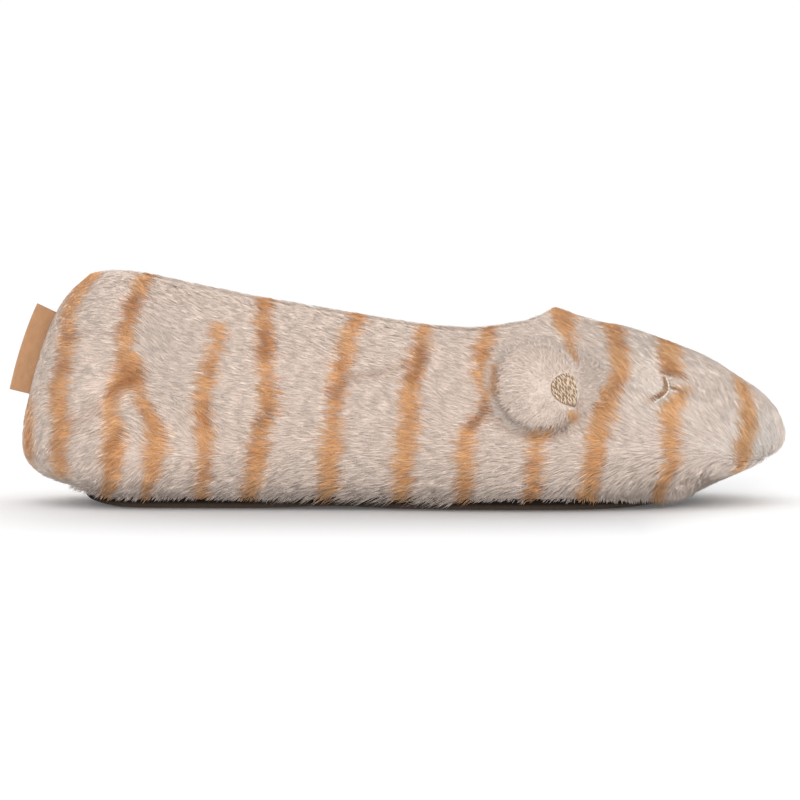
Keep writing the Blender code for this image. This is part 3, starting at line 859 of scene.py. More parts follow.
# %% Finding a charted place on the last
LOOK_STATIONS, LOOK_ROWS, EYE_LIFT = (5.4, 6.6, 400), (1.2, 3.4, 400), 1.9
look_grid = np.meshgrid(np.linspace(*LOOK_STATIONS), np.linspace(*LOOK_ROWS), indexing="ij")
look_x, look_z = elevation(outer(*look_grid) + EYE_LIFT * outward(*look_grid))


def charted(x, z, side):
    """Station and row where a thread over the last shows at x, z in side elevation."""
    nearest = np.argmin((look_x - x) ** 2 + (look_z - z) ** 2)
    station, row = look_grid[0].ravel()[nearest], look_grid[1].ravel()[nearest]
    return (station if side == "lateral" else STATIONS - station), row


EYE_ARC = ((88.7, 43.4), (89.7, 41.4), (90.2, 39.6), (90.1, 38), (89.4, 36.8), (87.8, 35.5), (85.3, 33.9))
LASHES = (((90.2, 42.2), (91.6, 42.8)), ((90.7, 38.3), (93.2, 37.9)), ((89.2, 35.6), (90, 34.9)))
EYE_MIDDLE, EYE_REACH, EYE_CLEAR = (89.0, 38.4), 16.0, 0.4
EYE_SHADES = (
    ((84.8, 34.3), (88.2, 36.1), 70), ((88.2, 36.1), (90.0, 37.9), 60), ((90.0, 37.9), (89.4, 42.4), 50),
    ((88.8, 44.2), (91.6, 43.3), 60), ((91.6, 43.3), (96.2, 43.0), 60), ((91.6, 39.2), (94.8, 38.2), 50),
)
EYE_SHADE_BROWN, EYE_SHADE_LENGTH, EYE_SHADE_SPREAD = np.array((0.46, 0.29, 0.17)), 1.7, 0.3


def eye_shade_roots(side, chance):
    """Stations and rows of the short brown hairs that paint shade inside the eye and at the brow's edge."""
    spots = []
    for start, end, count in EYE_SHADES:
        along = chance.random((count, 1))
        line = np.array(start) * (1 - along) + np.array(end) * along
        spots.append(line + EYE_SHADE_SPREAD * chance.standard_normal((count, 2)))
    return np.array([charted(x, z, side) for x, z in np.concatenate(spots)]).T


print("eye arc from", EYE_ARC[0], "to", EYE_ARC[-1])

# %% [markdown]
# ## Growing the fur
# A particle system could grow the hairs, but an exported part needs real meshes, so roots are strewn
# over the last in proportion to its area. Each hair lies along the combed direction, follows the last's
# curve and is drawn in towards the tip of the nearest lock, which gives the fur its soft tufts. Along the
# hem one chart says how far the tips hang below it, and another how far they stand off as fluff.

# %% The furred face
ROLL_FURRED, ROLL_END, HEM_ROW = 0.7, 1.3, 0.02
STREW_STATIONS, STREW_LEVELS = 160, 60


def coat(station, level):
    """The furred face: rows 0 to 4 up the outside, on round the collar to 5, straight down below 0."""
    point = outer(station, np.clip(level, 0, TOP_ROW))
    low, high = level < 0, level > TOP_ROW
    if low.any():
        rise = slopes(outer, station[low], np.full(low.sum(), HEM_ROW))[1]
        point[low] += level[low, None] * rise
    if high.any():
        turn = ROLL_FURRED * np.clip(level[high] - TOP_ROW, 0, ROLL_END)
        point[high] = collar_roll(station[high], turn)
    return point


def strewn(count, first_station, last_station, chance):
    """Roots spread evenly by area between two stations."""
    stations = np.linspace(first_station, last_station, STREW_STATIONS)
    levels = np.linspace(0, TOP_ROW + 1, STREW_LEVELS)
    grid = np.meshgrid((stations[1:] + stations[:-1]) / 2, (levels[1:] + levels[:-1]) / 2, indexing="ij")
    station, level = grid[0].ravel(), grid[1].ravel()
    area = np.linalg.norm(np.cross(*slopes(coat, station, level)), axis=-1)
    cell = chance.choice(len(area), count, p=area / area.sum())
    station = station[cell] + (chance.random(count) - 0.5) * (stations[1] - stations[0])
    level = level[cell] + (chance.random(count) - 0.5) * (levels[1] - levels[0])
    return station, level, area.sum() * (stations[1] - stations[0]) * (levels[1] - levels[0])


print("furred rows: 0 to", TOP_ROW + 1)

# %% Laying hairs along the comb
HAIR_LENGTH, HAIR_RISE_MIDDLE, HAIR_RISE_TIP = 9.5, 1.7, 2.2
HAIR_RADIUS, ROOT_SUNK, LEAST_OVER = 0.095, 0.4, 0.25
HANG_AT = (-98, -90, -80, -50, -25, -12, 12, 22, 32, 64, 74, 82, 97, 102)
HANG = (0.4, -0.6, 0.2, 1.2, 3.0, 3.6, 2.0, 0.4, -0.8, -0.6, 0.6, 2.6, 2.8, -0.4)
HANG_SPREAD, HANG_DRIFT, HANG_DRIFT_SIZE = (-0.3, 1.7), 0.6, 2.5
FLOOR_GAP, SHORTEST, EYE_PARTS, POINTS_AT_ONCE = 0.3, 0.2, 10, 2000


def laid(station, level, length, rise_middle, rise_tip, turn):
    """Root, middle and tip of hairs that lie along the comb, turned by an angle, over the last."""
    root = coat(station, level)
    across, up = slopes(coat, station, level)
    out = unit(np.cross(across, up))
    lay = comb(root)
    lay = unit(lay - out * np.sum(lay * out, axis=-1, keepdims=True))
    lay = np.cos(turn)[:, None] * lay + np.sin(turn)[:, None] * np.cross(out, lay)
    aa, uu, au = (np.sum(p * q, axis=-1) for p, q in ((across, across), (up, up), (across, up)))
    la, lu = np.sum(across * lay, axis=-1), np.sum(up * lay, axis=-1)
    scale = length / (aa * uu - au**2)
    step_station, step_level = (la * uu - lu * au) * scale, (lu * aa - la * au) * scale
    under = skin_lift(root, level) - pile_dip(root, level) - ROOT_SUNK
    path = [root + under[:, None] * out]
    for share, rise in ((0.5, rise_middle), (1.0, rise_tip)):
        place = station + share * step_station, level + share * step_level
        spot = coat(*place)
        over = np.maximum(rise, skin_lift(spot, place[1]) + LEAST_OVER) - pile_dip(spot, place[1])
        path.append(spot + over[:, None] * unit(np.cross(*slopes(coat, *place))))
    return np.stack(path, axis=1)


def nearest_lock(points, lock_roots):
    """Index of the closest lock for each point, searched in slices to save memory."""
    found = []
    for part in np.array_split(points, max(1, len(points) // POINTS_AT_ONCE)):
        gap = np.sum(part**2, 1)[:, None] - 2 * part @ lock_roots.T + np.sum(lock_roots**2, 1)[None]
        found.append(np.argmin(gap, axis=1))
    return np.concatenate(found)


def over_hem(path, chance):
    """Share of each hair's length that keeps its tip from hanging too far below the hem."""
    root, tip = path[:, 0], path[:, -1]
    hang = chance.uniform(*HANG_SPREAD, len(path)) + HANG_DRIFT * drift(root, HANG_DRIFT_SIZE)
    hang = np.interp(tip[:, 0], HANG_AT, HANG) * hang
    lowest = tread_z(tip[:, 0]) + np.maximum(HEM_HEIGHT - hang, FLOOR_GAP)
    share = (root[:, 2] - lowest) / np.maximum(root[:, 2] - tip[:, 2], 0.01)
    return np.where(tip[:, 2] < lowest, np.clip(share, SHORTEST, 1), 1.0)


def clear_of_eye(path):
    """Share of each hair's length that stays off the eye's thread; 0 for a root that lies on it."""
    share = np.ones(len(path))
    x, z = elevation(path[:, 1])
    near = np.flatnonzero((np.abs(x - EYE_MIDDLE[0]) < EYE_REACH) & (np.abs(z - EYE_MIDDLE[1]) < EYE_REACH))
    for part in np.arange(EYE_PARTS, -1, -1) / EYE_PARTS:
        first, second = (path[near, 0], path[near, 1]) if part < 0.5 else (path[near, 1], path[near, 2])
        spot = first + (2 * part % 1 if part < 1 else 1) * (second - first)
        spot_x, spot_z = elevation(spot)
        away = np.full(len(near), 99.0)
        for line in (EYE_ARC, *LASHES):
            for start, end in zip(line, line[1:]):
                away = np.minimum(away, stroke_distance(spot_x, spot_z, start, end))
        hit = near[away < EYE_CLEAR]
        share[hit] = max(part - 1 / EYE_PARTS, 0)
    return share


print(f"hair {HAIR_LENGTH} mm long and {2 * HAIR_RADIUS} mm thick")

# %% Roots and locks of one side
HAIRS_A_PIECE, FUR_PIECES = 33000, 2
FRINGE_HAIRS, FRINGE_STATIONS, FRINGE_LEVEL = 2200, (5.1, 6.75), 0.35
FUR_SIDES = {"lateral": (0.0, STATIONS / 2), "medial": (STATIONS / 2, float(STATIONS))}
LOCK_SPACING, LOCK_TURN, LOCK_SIZE = 2.2, 0.12, 0.16
Locks = namedtuple("Locks", "station level turn size")


def fur_roots(side, chance):
    """Roots of one side: strewn, some moved to a denser fringe, some brown ones to the eye as painted shade.
    """
    station, level, area = strewn(HAIRS_A_PIECE * FUR_PIECES, *FUR_SIDES[side], chance)
    fringe = chance.uniform(*FRINGE_STATIONS, FRINGE_HAIRS)
    station[:FRINGE_HAIRS] = fringe if side == "lateral" else STATIONS - fringe
    level[:FRINGE_HAIRS] = chance.uniform(0, FRINGE_LEVEL, FRINGE_HAIRS)
    brown = eye_shade_roots(side, chance)
    dark = slice(FRINGE_HAIRS, FRINGE_HAIRS + brown.shape[1])
    station[dark], level[dark] = brown
    return station, level, area, dark


def fur_locks(side, area, chance):
    """The locks that one side's hairs are drawn to."""
    count = int(area / LOCK_SPACING**2)
    station, level, _ = strewn(count, *FUR_SIDES[side], chance)
    turn = LOCK_TURN * chance.standard_normal(count)
    return Locks(station, level, turn, 1 + LOCK_SIZE * chance.standard_normal(count))


print("hairs on each side:", HAIRS_A_PIECE * FUR_PIECES)

# %% Sizes of the hairs and the pull of the locks
EYE_SHORT, EYE_SHORT_REACH, EYE_LOW = 0.4, 8.0, 0.25
COLLAR_SHORT, COLLAR_SHORT_ROWS, TOE_SHORT, TOE_SHORT_FROM = 0.75, 0.4, 0.85, 98
LENGTH_SPREAD, BROWN_SPREAD = (0.65, 1.15), (0.6, 1.2)
HEIGHT_LEAST, HEIGHT_MOST, EVEN_LEAST, EVEN_MOST = 0.65, 1.2, 0.2, 0.12
FLUFF_AT, FLUFF, FLUFF_LEVEL = (60, 85, 94, 102), (0.6, 2.6, 2.2, 0.1), 0.9
FLUFF_SPREAD, FLUFF_MIDDLE = (0.2, 1.2), 0.35
LOCK_PULL, PULL_MIDDLE, PULL_SPREAD = 0.22, 0.35, (0.5, 1.1)


def hair_sizes(root, level, even, lock_size, dark, chance):
    """Length of each hair, and how high its middle and its tip stand off the last."""
    x, z = elevation(root)
    by_eye = np.exp(-((np.hypot(x - EYE_MIDDLE[0], z - EYE_MIDDLE[1]) / EYE_SHORT_REACH) ** 4))
    short = np.where(level > TOP_ROW - COLLAR_SHORT_ROWS, COLLAR_SHORT, 1.0)
    short = short * np.where(root[:, 0] > TOE_SHORT_FROM, TOE_SHORT, 1.0) * (1 - (1 - EYE_SHORT) * by_eye)
    length = HAIR_LENGTH * short * lock_size * chance.uniform(*LENGTH_SPREAD, len(root))
    height = chance.uniform(HEIGHT_LEAST + EVEN_LEAST * even, HEIGHT_MOST - EVEN_MOST * even)
    height = height * (1 - EYE_LOW * by_eye)
    length[dark] = EYE_SHADE_LENGTH * chance.uniform(*BROWN_SPREAD, dark.stop - dark.start)
    fluff = np.interp(root[:, 0], FLUFF_AT, FLUFF) * np.clip(1 - level / FLUFF_LEVEL, 0, 1)
    fluff = fluff * chance.uniform(*FLUFF_SPREAD, len(root))
    return length, (HAIR_RISE_MIDDLE * height + FLUFF_MIDDLE * fluff, HAIR_RISE_TIP * height + fluff)


def lock_pull(path, lock, locks, free, chance):
    """How far the middle and tip of each hair are drawn to those of its lock."""
    still = np.ones(len(locks.size))
    rise = HAIR_RISE_MIDDLE * still, HAIR_RISE_TIP * still
    lock_path = laid(locks.station, locks.level, HAIR_LENGTH * locks.size, *rise, locks.turn)[lock]
    middle, tip = PULL_MIDDLE * (lock_path[:, 1] - path[:, 1]), lock_path[:, 2] - path[:, 2]
    pull = np.stack((path[:, 0] * 0, middle, tip), 1) * free[:, None, None]
    return LOCK_PULL * chance.uniform(*PULL_SPREAD, (len(path), 1, 1)) * pull


print(f"locks draw their hairs in by up to {LOCK_PULL:.0%}")

# %% Fur on both sides of the upper
HAIR_TURN, EVEN_TURN, DRIFT_TURN, DRIFT_TURN_SIZE = 0.13, 0.5, 0.14, 14.0
EVEN_PULL, DYE_MIDDLE, DYE_TIP = 0.7, 0.8, 0.2
HAIR_SHADES, SHADE_HAIR_TONES, RADIUS_SPREAD = np.array((0.95, 0.95, 1.04)), (0.7, 1.6), (0.8, 1.25)


def fur_side(side, seed):
    chance = np.random.default_rng(seed)
    station, level, area, dark = fur_roots(side, chance)
    locks = fur_locks(side, area, chance)
    root, count = coat(station, level), len(station)
    lock = nearest_lock(root, coat(locks.station, locks.level))
    even = sleek(root, level)
    length, rise = hair_sizes(root, level, even, locks.size[lock], dark, chance)
    turn = locks.turn[lock] + HAIR_TURN * chance.standard_normal(count)
    turn = (1 - EVEN_TURN * even) * turn + DRIFT_TURN * drift(root, DRIFT_TURN_SIZE, 4.4)
    path = laid(station, level, length, *rise, turn)
    share = np.minimum(over_hem(path, chance), clear_of_eye(path))
    share[dark] = 1
    path = laid(station, level, length * share, *rise, turn)
    free = (share == 1) * (1 - EVEN_PULL * even)
    free[dark] = 0
    path = path + lock_pull(path, lock, locks, free, chance)

    shade = pile_colour(path[:, 1] * DYE_MIDDLE + path[:, 2] * DYE_TIP, chance)
    # Painted shade: the short hairs at the eye are brown.
    shade[dark] = EYE_SHADE_BROWN * chance.uniform(*SHADE_HAIR_TONES, (dark.stop - dark.start, 1))
    colours = in_shade(shade[:, None] * HAIR_SHADES[:, None], path)
    radii = np.tile((0, HAIR_RADIUS, 0), (count, 1)) * chance.uniform(*RADIUS_SPREAD, (count, 1))
    roll = chance.uniform(0, 2 * math.pi, count)
    grown = np.flatnonzero(share > 0)
    for piece in range(FUR_PIECES):
        part = grown[piece::FUR_PIECES]
        name = f"fur_{side}_{piece + 1}"
        fur = spindles(name, path[part], radii[part], colours[part], fur_finish, roll[part])
        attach(fur, "root")
    print(f"{side}: {len(grown)} hairs on {area:.0f} square mm, {len(locks.size)} locks")


for seed, side in enumerate(FUR_SIDES):
    fur_side(side, 21 + seed)

# %% [markdown]
# ## Fur on the ears
# The ears' pile is shorter and runs away from the embroidered patch on their front slope, so the patch
# stays clear. On the skirt it takes up the upper's stripes again.

# %% Dye of the ears
PATCH_FRONT, PATCH_LENGTH, PATCH_HEIGHT, PATCH_DROP, PATCH_FLAT = 10.0, 7.5, 7.4, 4.4, 0.2
PATCH_MIDDLE = np.array((PATCH_FRONT - PATCH_LENGTH / 2, -PATCH_DROP))
EAR_DYE, EAR_DYE_EDGE = (((31.0, 46.5), (30.6, 37.5), 0.9), ((57.2, 32.5), (58.0, 27.0), 1.8)), 1.6


def in_patch(along, height):
    """Below 1 inside the embroidered patch: round at the back, nearly straight at the front."""
    back = (along - PATCH_FRONT) * (1 + PATCH_FLAT) / PATCH_LENGTH + PATCH_FLAT
    back = np.where(back > 0, back / PATCH_FLAT, back)
    return np.hypot(back, 2 * (height + PATCH_DROP) / PATCH_HEIGHT)


def ear_dye(points):
    x, z = elevation(points)
    dye = np.zeros(x.shape)
    for start, end, half in EAR_DYE:
        inside = half - stroke_distance(x, z, start, end)
        dye = np.maximum(dye, np.clip(0.5 + inside / EAR_DYE_EDGE, 0, 1))
    return dye


print("tan marks on an ear:", len(EAR_DYE))

# %% Fur on the ears
EAR_HAIRS, EAR_HAIR_LENGTH, EAR_RISE, EAR_SHADE_DIM, SKIRT_HAIRS = 7500, 6.0, 0.75, 0.89, 0.45
EAR_TRIES, EAR_AWAY, EAR_CURL, EAR_CURL_SIZE, EAR_STRAY = 6, (-0.25, 0.1), 0.35, 6.0, 0.2
EAR_LENGTHS, EAR_RISES, PATCH_BY, PATCH_SHORT = (0.6, 1.1), (0.5, 1.2), 5, 0.35
RIM_TURN, RIM_LIFT, RIM_STRIPED, RIM_SHORT, SKIRT_SHORT = 0.4, 1.4, 0.2, 0.75, 0.9
EAR_SHADES, EAR_HAIR_TONE, EAR_PATCHY_TONE = np.array((0.95, 0.97, 1.03)), 0.02, 0.03
EAR_RADII, DOME_FOOT = (0.8, 1.2), 0.05


def fur_ear(side, chance):
    """Paths, radii and colours of one ear's hairs."""
    tries = EAR_TRIES * EAR_HAIRS
    angle = chance.uniform(0, 2 * math.pi, tries)
    on_skirt = chance.random(tries) < SKIRT_HAIRS
    low, high = -SEAT_TURN * chance.random(tries), chance.uniform(DOME_FOOT, math.pi / 2, tries)
    turn = np.where(on_skirt, low, high)
    along, height = ear_place(angle, turn)
    wanted = chance.random(tries) < np.where(on_skirt, ear_flare(angle) / SKIRT_MOST, np.cos(turn))
    kept = np.flatnonzero(wanted & (in_patch(along, height) > 1.0))[:EAR_HAIRS]
    turn, spot = turn[kept], np.stack((along[kept], height[kept]), -1)
    count = len(kept)

    def mound(along, height):
        return ear_mound(side, along, height)

    root = mound(spot[:, 0], spot[:, 1])
    curl = np.stack((drift(root, EAR_CURL_SIZE), drift(root, EAR_CURL_SIZE, 7.7)), -1)
    away = unit(spot - PATCH_MIDDLE) + EAR_AWAY + EAR_CURL * curl
    away = unit(away + EAR_STRAY * chance.standard_normal((count, 2)))
    gap = np.linalg.norm(spot - PATCH_MIDDLE, axis=-1) - PATCH_HEIGHT / 2
    length = EAR_HAIR_LENGTH * chance.uniform(*EAR_LENGTHS, count) * np.clip(gap / PATCH_BY, PATCH_SHORT, 1)
    length = length * np.where(turn < 0, SKIRT_SHORT, RIM_SHORT + (1 - RIM_SHORT) * np.sin(turn))
    rise = EAR_RISE * chance.uniform(*EAR_RISES, count)
    flare = ear_flare(np.arctan2(spot[:, 1], spot[:, 0])) / SKIRT_MOST
    edge = np.exp(-((turn / RIM_TURN) ** 2)) * (1 - flare)
    path = []
    for share, lift in ((0.0, -ROOT_SUNK + 0 * rise), (0.5, rise), (1.0, rise * (1 + RIM_LIFT * edge))):
        place = spot + share * length[:, None] * away
        out = EARS[side][1] * unit(np.cross(*slopes(mound, place[:, 0], place[:, 1], 0.05)))
        path.append(mound(place[:, 0], place[:, 1]) + lift[:, None] * out)
    path = np.stack(path, axis=1)
    striped = np.where(turn < RIM_STRIPED, stripe_dye(path[:, 1]), 0)
    dye = np.maximum(ear_dye(path[:, 1]), striped)[:, None]
    # Painted shade: the ear's pile is dimmed, so the raised ear is no brighter than the upper round it.
    shade = EAR_SHADE_DIM * (CREAM + dye * (TAN - CREAM))
    tone = 1 + EAR_HAIR_TONE * chance.standard_normal((count, 1))
    shade = shade * (tone + EAR_PATCHY_TONE * drift(root, 8.0)[:, None])
    colours = in_shade(shade[:, None] * EAR_SHADES[:, None], path, EAR_SHADE_STROKES)
    radii = np.tile((0, HAIR_RADIUS, 0), (count, 1)) * chance.uniform(*EAR_RADII, (count, 1))
    return path, radii, colours


chance = np.random.default_rng(41)
grown = [fur_ear(side, chance) for side in EARS]
path, radii, colours = (np.concatenate(parts) for parts in zip(*grown))
ear_fur = spindles("fur_ears", path, radii, colours, fur_finish, chance.uniform(0, 2 * math.pi, len(path)))
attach(ear_fur, "root")
print("hairs on both ears:", len(path))

# %% [markdown]
# ## Gold thread
# The patches and eyes are sewn with a metallised thread: a bright twisted yarn with dark gaps between
# the stitches. Each stitch has its own shade, and a fine slanted bump stands for the twist.

# %% Gold thread and its dark ground
gold_finish, shader, tint = dyed_finish("gold_thread", {"Metallic": 0.55, "Roughness": 0.34})
place = tint.node("ShaderNodeTexCoord", output="Object")
turned = tint.node("ShaderNodeMapping", None, {"Vector": place, "Rotation": (0.0, math.radians(35), 0.0)})
feed(shader, tint.bump(tint.wave(turned, "Z", 900, 0.4), 0.5, 0.0002), "Normal")

ground_finish, shader, tint = new_finish("patch_ground", {"Roughness": 0.95})
place = tint.node("ShaderNodeTexCoord", output="Object")
specks = tint.noise(place, 1400, 2)
feed(shader, specks.mixed((0.20, 0.12, 0.07, 1), (0.42, 0.28, 0.18, 1)), "Base Color")
feed(shader, tint.bump(specks, 0.6, 0.0004), "Normal")
GOLD, PALE_GOLD = np.array((0.97, 0.80, 0.63)), np.array((0.95, 0.88, 0.79))
THREAD_TONES, THREAD_END_SHADE, THREAD_TAPER = (0.7, 1.02), 0.55, (0.12, 0.88)


def stitched(name, starts, ends, bulge, radius, chance, thread, steps=6):
    """Stitches of a thread's colour from starts to ends, arched along the given bulges."""
    share = np.linspace(0, 1, steps)[None, :, None]
    path = starts[:, None] * (1 - share) + ends[:, None] * share
    path = path + np.sin(math.pi * share) * bulge[:, None]
    count = len(path)
    radii = radius * np.sin(math.pi * np.clip(share[..., 0], *THREAD_TAPER)) ** 0.5 * np.ones((count, 1))
    shade = thread * chance.uniform(*THREAD_TONES, (count, 1, 1)) * np.ones((1, steps, 1))
    # Painted shade: each stitch is darker at its ends, where it dives into the cloth.
    shade[:, [0, -1]] *= THREAD_END_SHADE
    shade = np.clip(shade, 0, 0.95)
    return spindles(name, path, radii, shade, gold_finish, chance.uniform(0, 6, count), sides=6)


print("stitch helper ready")

# %% [markdown]
# ## Embroidered ear patches
# A satin patch is columns of short stitches, side by side and on a slant, each out of step with the
# next. They lie on a dark ground that follows the ear's slope: a flattened ball laid on the dome.

# %% Ear patches
STITCH_PITCH, STITCH_LENGTH, STITCH_GAP, STITCH_RADIUS = 0.41, 1.9, 0.06, 0.21
STITCH_SLANT, STITCH_LENGTHS, STITCH_STRAY = math.radians(24), (0.75, 1.05), 0.09
STITCH_STEP, STITCH_SHORTEST, STITCH_LAST, STITCH_SUNK, STITCH_ARCH = 0.1, 0.4, 0.3, 0.25, 0.2
GROUND_LIFT, GROUND_THICK, STITCH_LIFT = 0.45, 0.35, 0.85
GROUND_SEGMENTS, GROUND_RINGS = 40, 12


def ear_face(side, along, height, lift):
    """A place over the ear's dome."""
    reach = np.hypot(2 * along / EAR_LENGTH, 2 * height / EAR_HEIGHT)
    return ear_spot(side, along, height, ear_dome(reach) + lift)


def patch_ground(side):
    bpy.ops.mesh.primitive_uv_sphere_add(segments=GROUND_SEGMENTS, ring_count=GROUND_RINGS, radius=1)
    ground = added("ear_patch_ground_" + side, ground_finish)
    ball = np.array([vertex.co for vertex in ground.data.vertices])
    back = np.where(ball[:, 0] > 0, ball[:, 0] * PATCH_FLAT, ball[:, 0])
    along = PATCH_FRONT + (back - PATCH_FLAT) * PATCH_LENGTH / (1 + PATCH_FLAT)
    height = ball[:, 1] * PATCH_HEIGHT / 2 - PATCH_DROP
    points = ear_face(side, along, height, GROUND_LIFT + GROUND_THICK * ball[:, 2])
    ground.data.vertices.foreach_set("co", lay_on_last(points).ravel())
    face_outwards()
    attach(ground, "root")
    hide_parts("ear_patch_" + side)


def patch_stitches(side, chance):
    starts, ends = [], []
    across = np.array((math.cos(STITCH_SLANT), math.sin(STITCH_SLANT)))
    up = np.array((-across[1], across[0]))
    tries = np.arange(-PATCH_LENGTH, PATCH_LENGTH, STITCH_STEP)
    for place in np.arange(-PATCH_LENGTH, PATCH_LENGTH, STITCH_PITCH):
        base = PATCH_MIDDLE + place * across
        spots = base + tries[:, None] * up
        inside = tries[in_patch(spots[:, 0], spots[:, 1]) < 1]
        if len(inside) * STITCH_STEP < STITCH_SHORTEST:
            continue
        bottom, top = inside[0], inside[-1]
        low = bottom - STITCH_LENGTH * chance.random()
        while low < top - STITCH_LAST:
            high = low + STITCH_LENGTH * chance.uniform(*STITCH_LENGTHS) - STITCH_GAP
            span = max(low, bottom), min(high, top)
            if span[1] - span[0] > STITCH_SHORTEST:
                starts.append(base + span[0] * up + STITCH_STRAY * chance.standard_normal() * across)
                ends.append(base + span[1] * up + STITCH_STRAY * chance.standard_normal() * across)
            low += STITCH_LENGTH
    starts, ends = np.array(starts), np.array(ends)
    first, last = (ear_face(side, *spot.T, STITCH_LIFT - STITCH_SUNK) for spot in (starts, ends))
    bulge = ear_face(side, *((starts + ends) / 2).T, STITCH_LIFT + STITCH_ARCH) - (first + last) / 2
    piece = stitched("ear_patch_stitches_" + side, first, last, bulge, STITCH_RADIUS, chance, GOLD)
    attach(piece, "root")
    return len(first)


for side in EARS:
    patch_ground(side)
    print(side, "patch:", patch_stitches(side, np.random.default_rng(51)), "stitches")

# %% [markdown]
# ## Sewing the eyes
# The arc is drawn through its charted points, cut into short stitches that touch end to end, and pressed
# a little into the pile, which was left clear along it.

# %% Eyes
EYE_STITCH, EYE_RADIUS, EYE_OVERLAP, EYE_ARCH, LASH_SUNK = 1.1, 0.27, 0.15, 0.15, 0.45


def on_face(side, chart, lift):
    """Charted places laid on the last, lifted off it."""
    spots = np.array([charted(x, z, side) for x, z in chart])
    return outer(spots[:, 0], spots[:, 1]) + lift * outward(spots[:, 0], spots[:, 1])


def walk(line, step):
    """Points at even steps along a broken line."""
    line = np.array(line, float)
    length = np.concatenate(((0,), np.cumsum(np.linalg.norm(np.diff(line, axis=0), axis=1))))
    count = max(2, int(round(length[-1] / step)) + 1)
    even = np.linspace(0, length[-1], count)
    return np.stack([np.interp(even, length, column) for column in line.T], -1)


def sew_eye(side, chance):
    starts, ends = [], []
    for line in (EYE_ARC, *LASHES):
        sunk = 0 if line is EYE_ARC else LASH_SUNK
        points = on_face(side, walk(line, EYE_STITCH), EYE_LIFT - sunk)
        ahead = unit(points[1:] - points[:-1])
        starts.append(points[:-1] - EYE_OVERLAP * ahead)
        ends.append(points[1:] + EYE_OVERLAP * ahead)
    starts, ends = np.concatenate(starts), np.concatenate(ends)
    out = on_face(side, [EYE_ARC[3]], 1.0) - on_face(side, [EYE_ARC[3]], 0.0)
    bulge = EYE_ARCH * out + 0 * starts
    piece = stitched("eye_" + side, starts, ends, bulge, EYE_RADIUS, chance, PALE_GOLD, steps=5)
    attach(piece, "root")
    return len(starts)


for side in EARS:
    print(side, "eye:", sew_eye(side, np.random.default_rng(61)), "stitches")

# %% [markdown]
# ## The ribbon in the heel seam
# A short brown ribbon is folded in two and sewn into the heel seam. A grid is bent round the fold, given
# the ribbon's thickness with Solidify, and its weave runs on the map of the grid. It is left bare.

# %% Ribbon
TAB_REACH, TAB_LEAF, TAB_SLIT, TAB_FROM, TAB_TO, TAB_SHAVED = 9.2, 0.8, 0.5, 1.82, 2.94, 0.1
RIBBON_WAVE, RIBBON_WAVES, RIBBON_COLUMNS, RIBBON_ROWS = 0.35, 4, 56, 48
ribbon_finish, shader, tint = new_finish("ribbon", {"Roughness": 0.62, "Sheen Weight": 0.3})
spot = tint.node("ShaderNodeUVMap", {"uv_map": "OFBake"})
weave = tint.wave(spot, "X", 11, 0.2) * 0.4 + tint.wave(spot, "Y", 26, 0.3) * 0.6
tone = weave * 0.3 + tint.noise(spot, 9, 3) * 0.5
feed(shader, tone.mixed((0.31, 0.145, 0.06, 1), (0.62, 0.34, 0.165, 1)), "Base Color")
feed(shader, tint.bump(weave, 0.6, 0.0003), "Normal")

bpy.ops.mesh.primitive_grid_add(x_subdivisions=RIBBON_COLUMNS, y_subdivisions=RIBBON_ROWS, size=2)
ribbon = added("heel_ribbon", ribbon_finish)
flat = np.array([vertex.co for vertex in ribbon.data.vertices])
fold = (TAB_SLIT + TAB_LEAF) / 2
leaf = TAB_REACH - TAB_LEAF / 2 - fold
strip = 2 * leaf + math.pi * fold
run = (flat[:, 0] + 1) / 2 * strip
bend = np.clip((run - leaf) / fold, 0, math.pi)
reach = np.minimum(np.minimum(run, strip - run), leaf) + fold * np.sin(bend)
row = TAB_FROM + (TAB_TO - TAB_FROM) * (flat[:, 1] + 1) / 2
station = np.zeros(len(row))
points = outer(station, row) + (SEAM_GAP + reach)[:, None] * outward(station, row)
points[:, 1] += RIBBON_WAVE * np.sin(RIBBON_WAVES * row) * reach / TAB_REACH - fold * np.cos(bend)
ribbon.data.vertices.foreach_set("co", lay_on_last(points).ravel())
wall = ribbon.modifiers.new("thickness", "SOLIDIFY")
wall.thickness = (TAB_LEAF - TAB_SHAVED) * MM
wall.offset = 0
bpy.ops.object.modifier_apply(modifier=wall.name)
face_outwards()
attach(ribbon, "root")
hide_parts("heel_tab")
print(f"ribbon: {strip:.1f} mm long before it is folded, {len(ribbon.data.polygons)} faces")

# %% [markdown]
# ## Footbed
# The padded footbed is foam under brushed textile. A copy of its solid is merged, subdivided and
# smoothed, which rounds its edge as a soft pad's.

# %% Footbed
bed_finish, shader, tint = new_finish("footbed_textile", {"Roughness": 0.95, "Sheen Weight": 0.35})
place = tint.node("ShaderNodeTexCoord", output="Object")
nap = tint.noise(place, 900, 4, 1.0)
lighter = tint.noise(place, 45, 3)
feed(shader, (nap * 0.5 + lighter * 0.5).mixed((0.58, 0.48, 0.40, 1), (0.86, 0.77, 0.68, 1)), "Base Color")
feed(shader, tint.bump(nap + lighter * 0.6, 0.8, 0.001), "Normal")

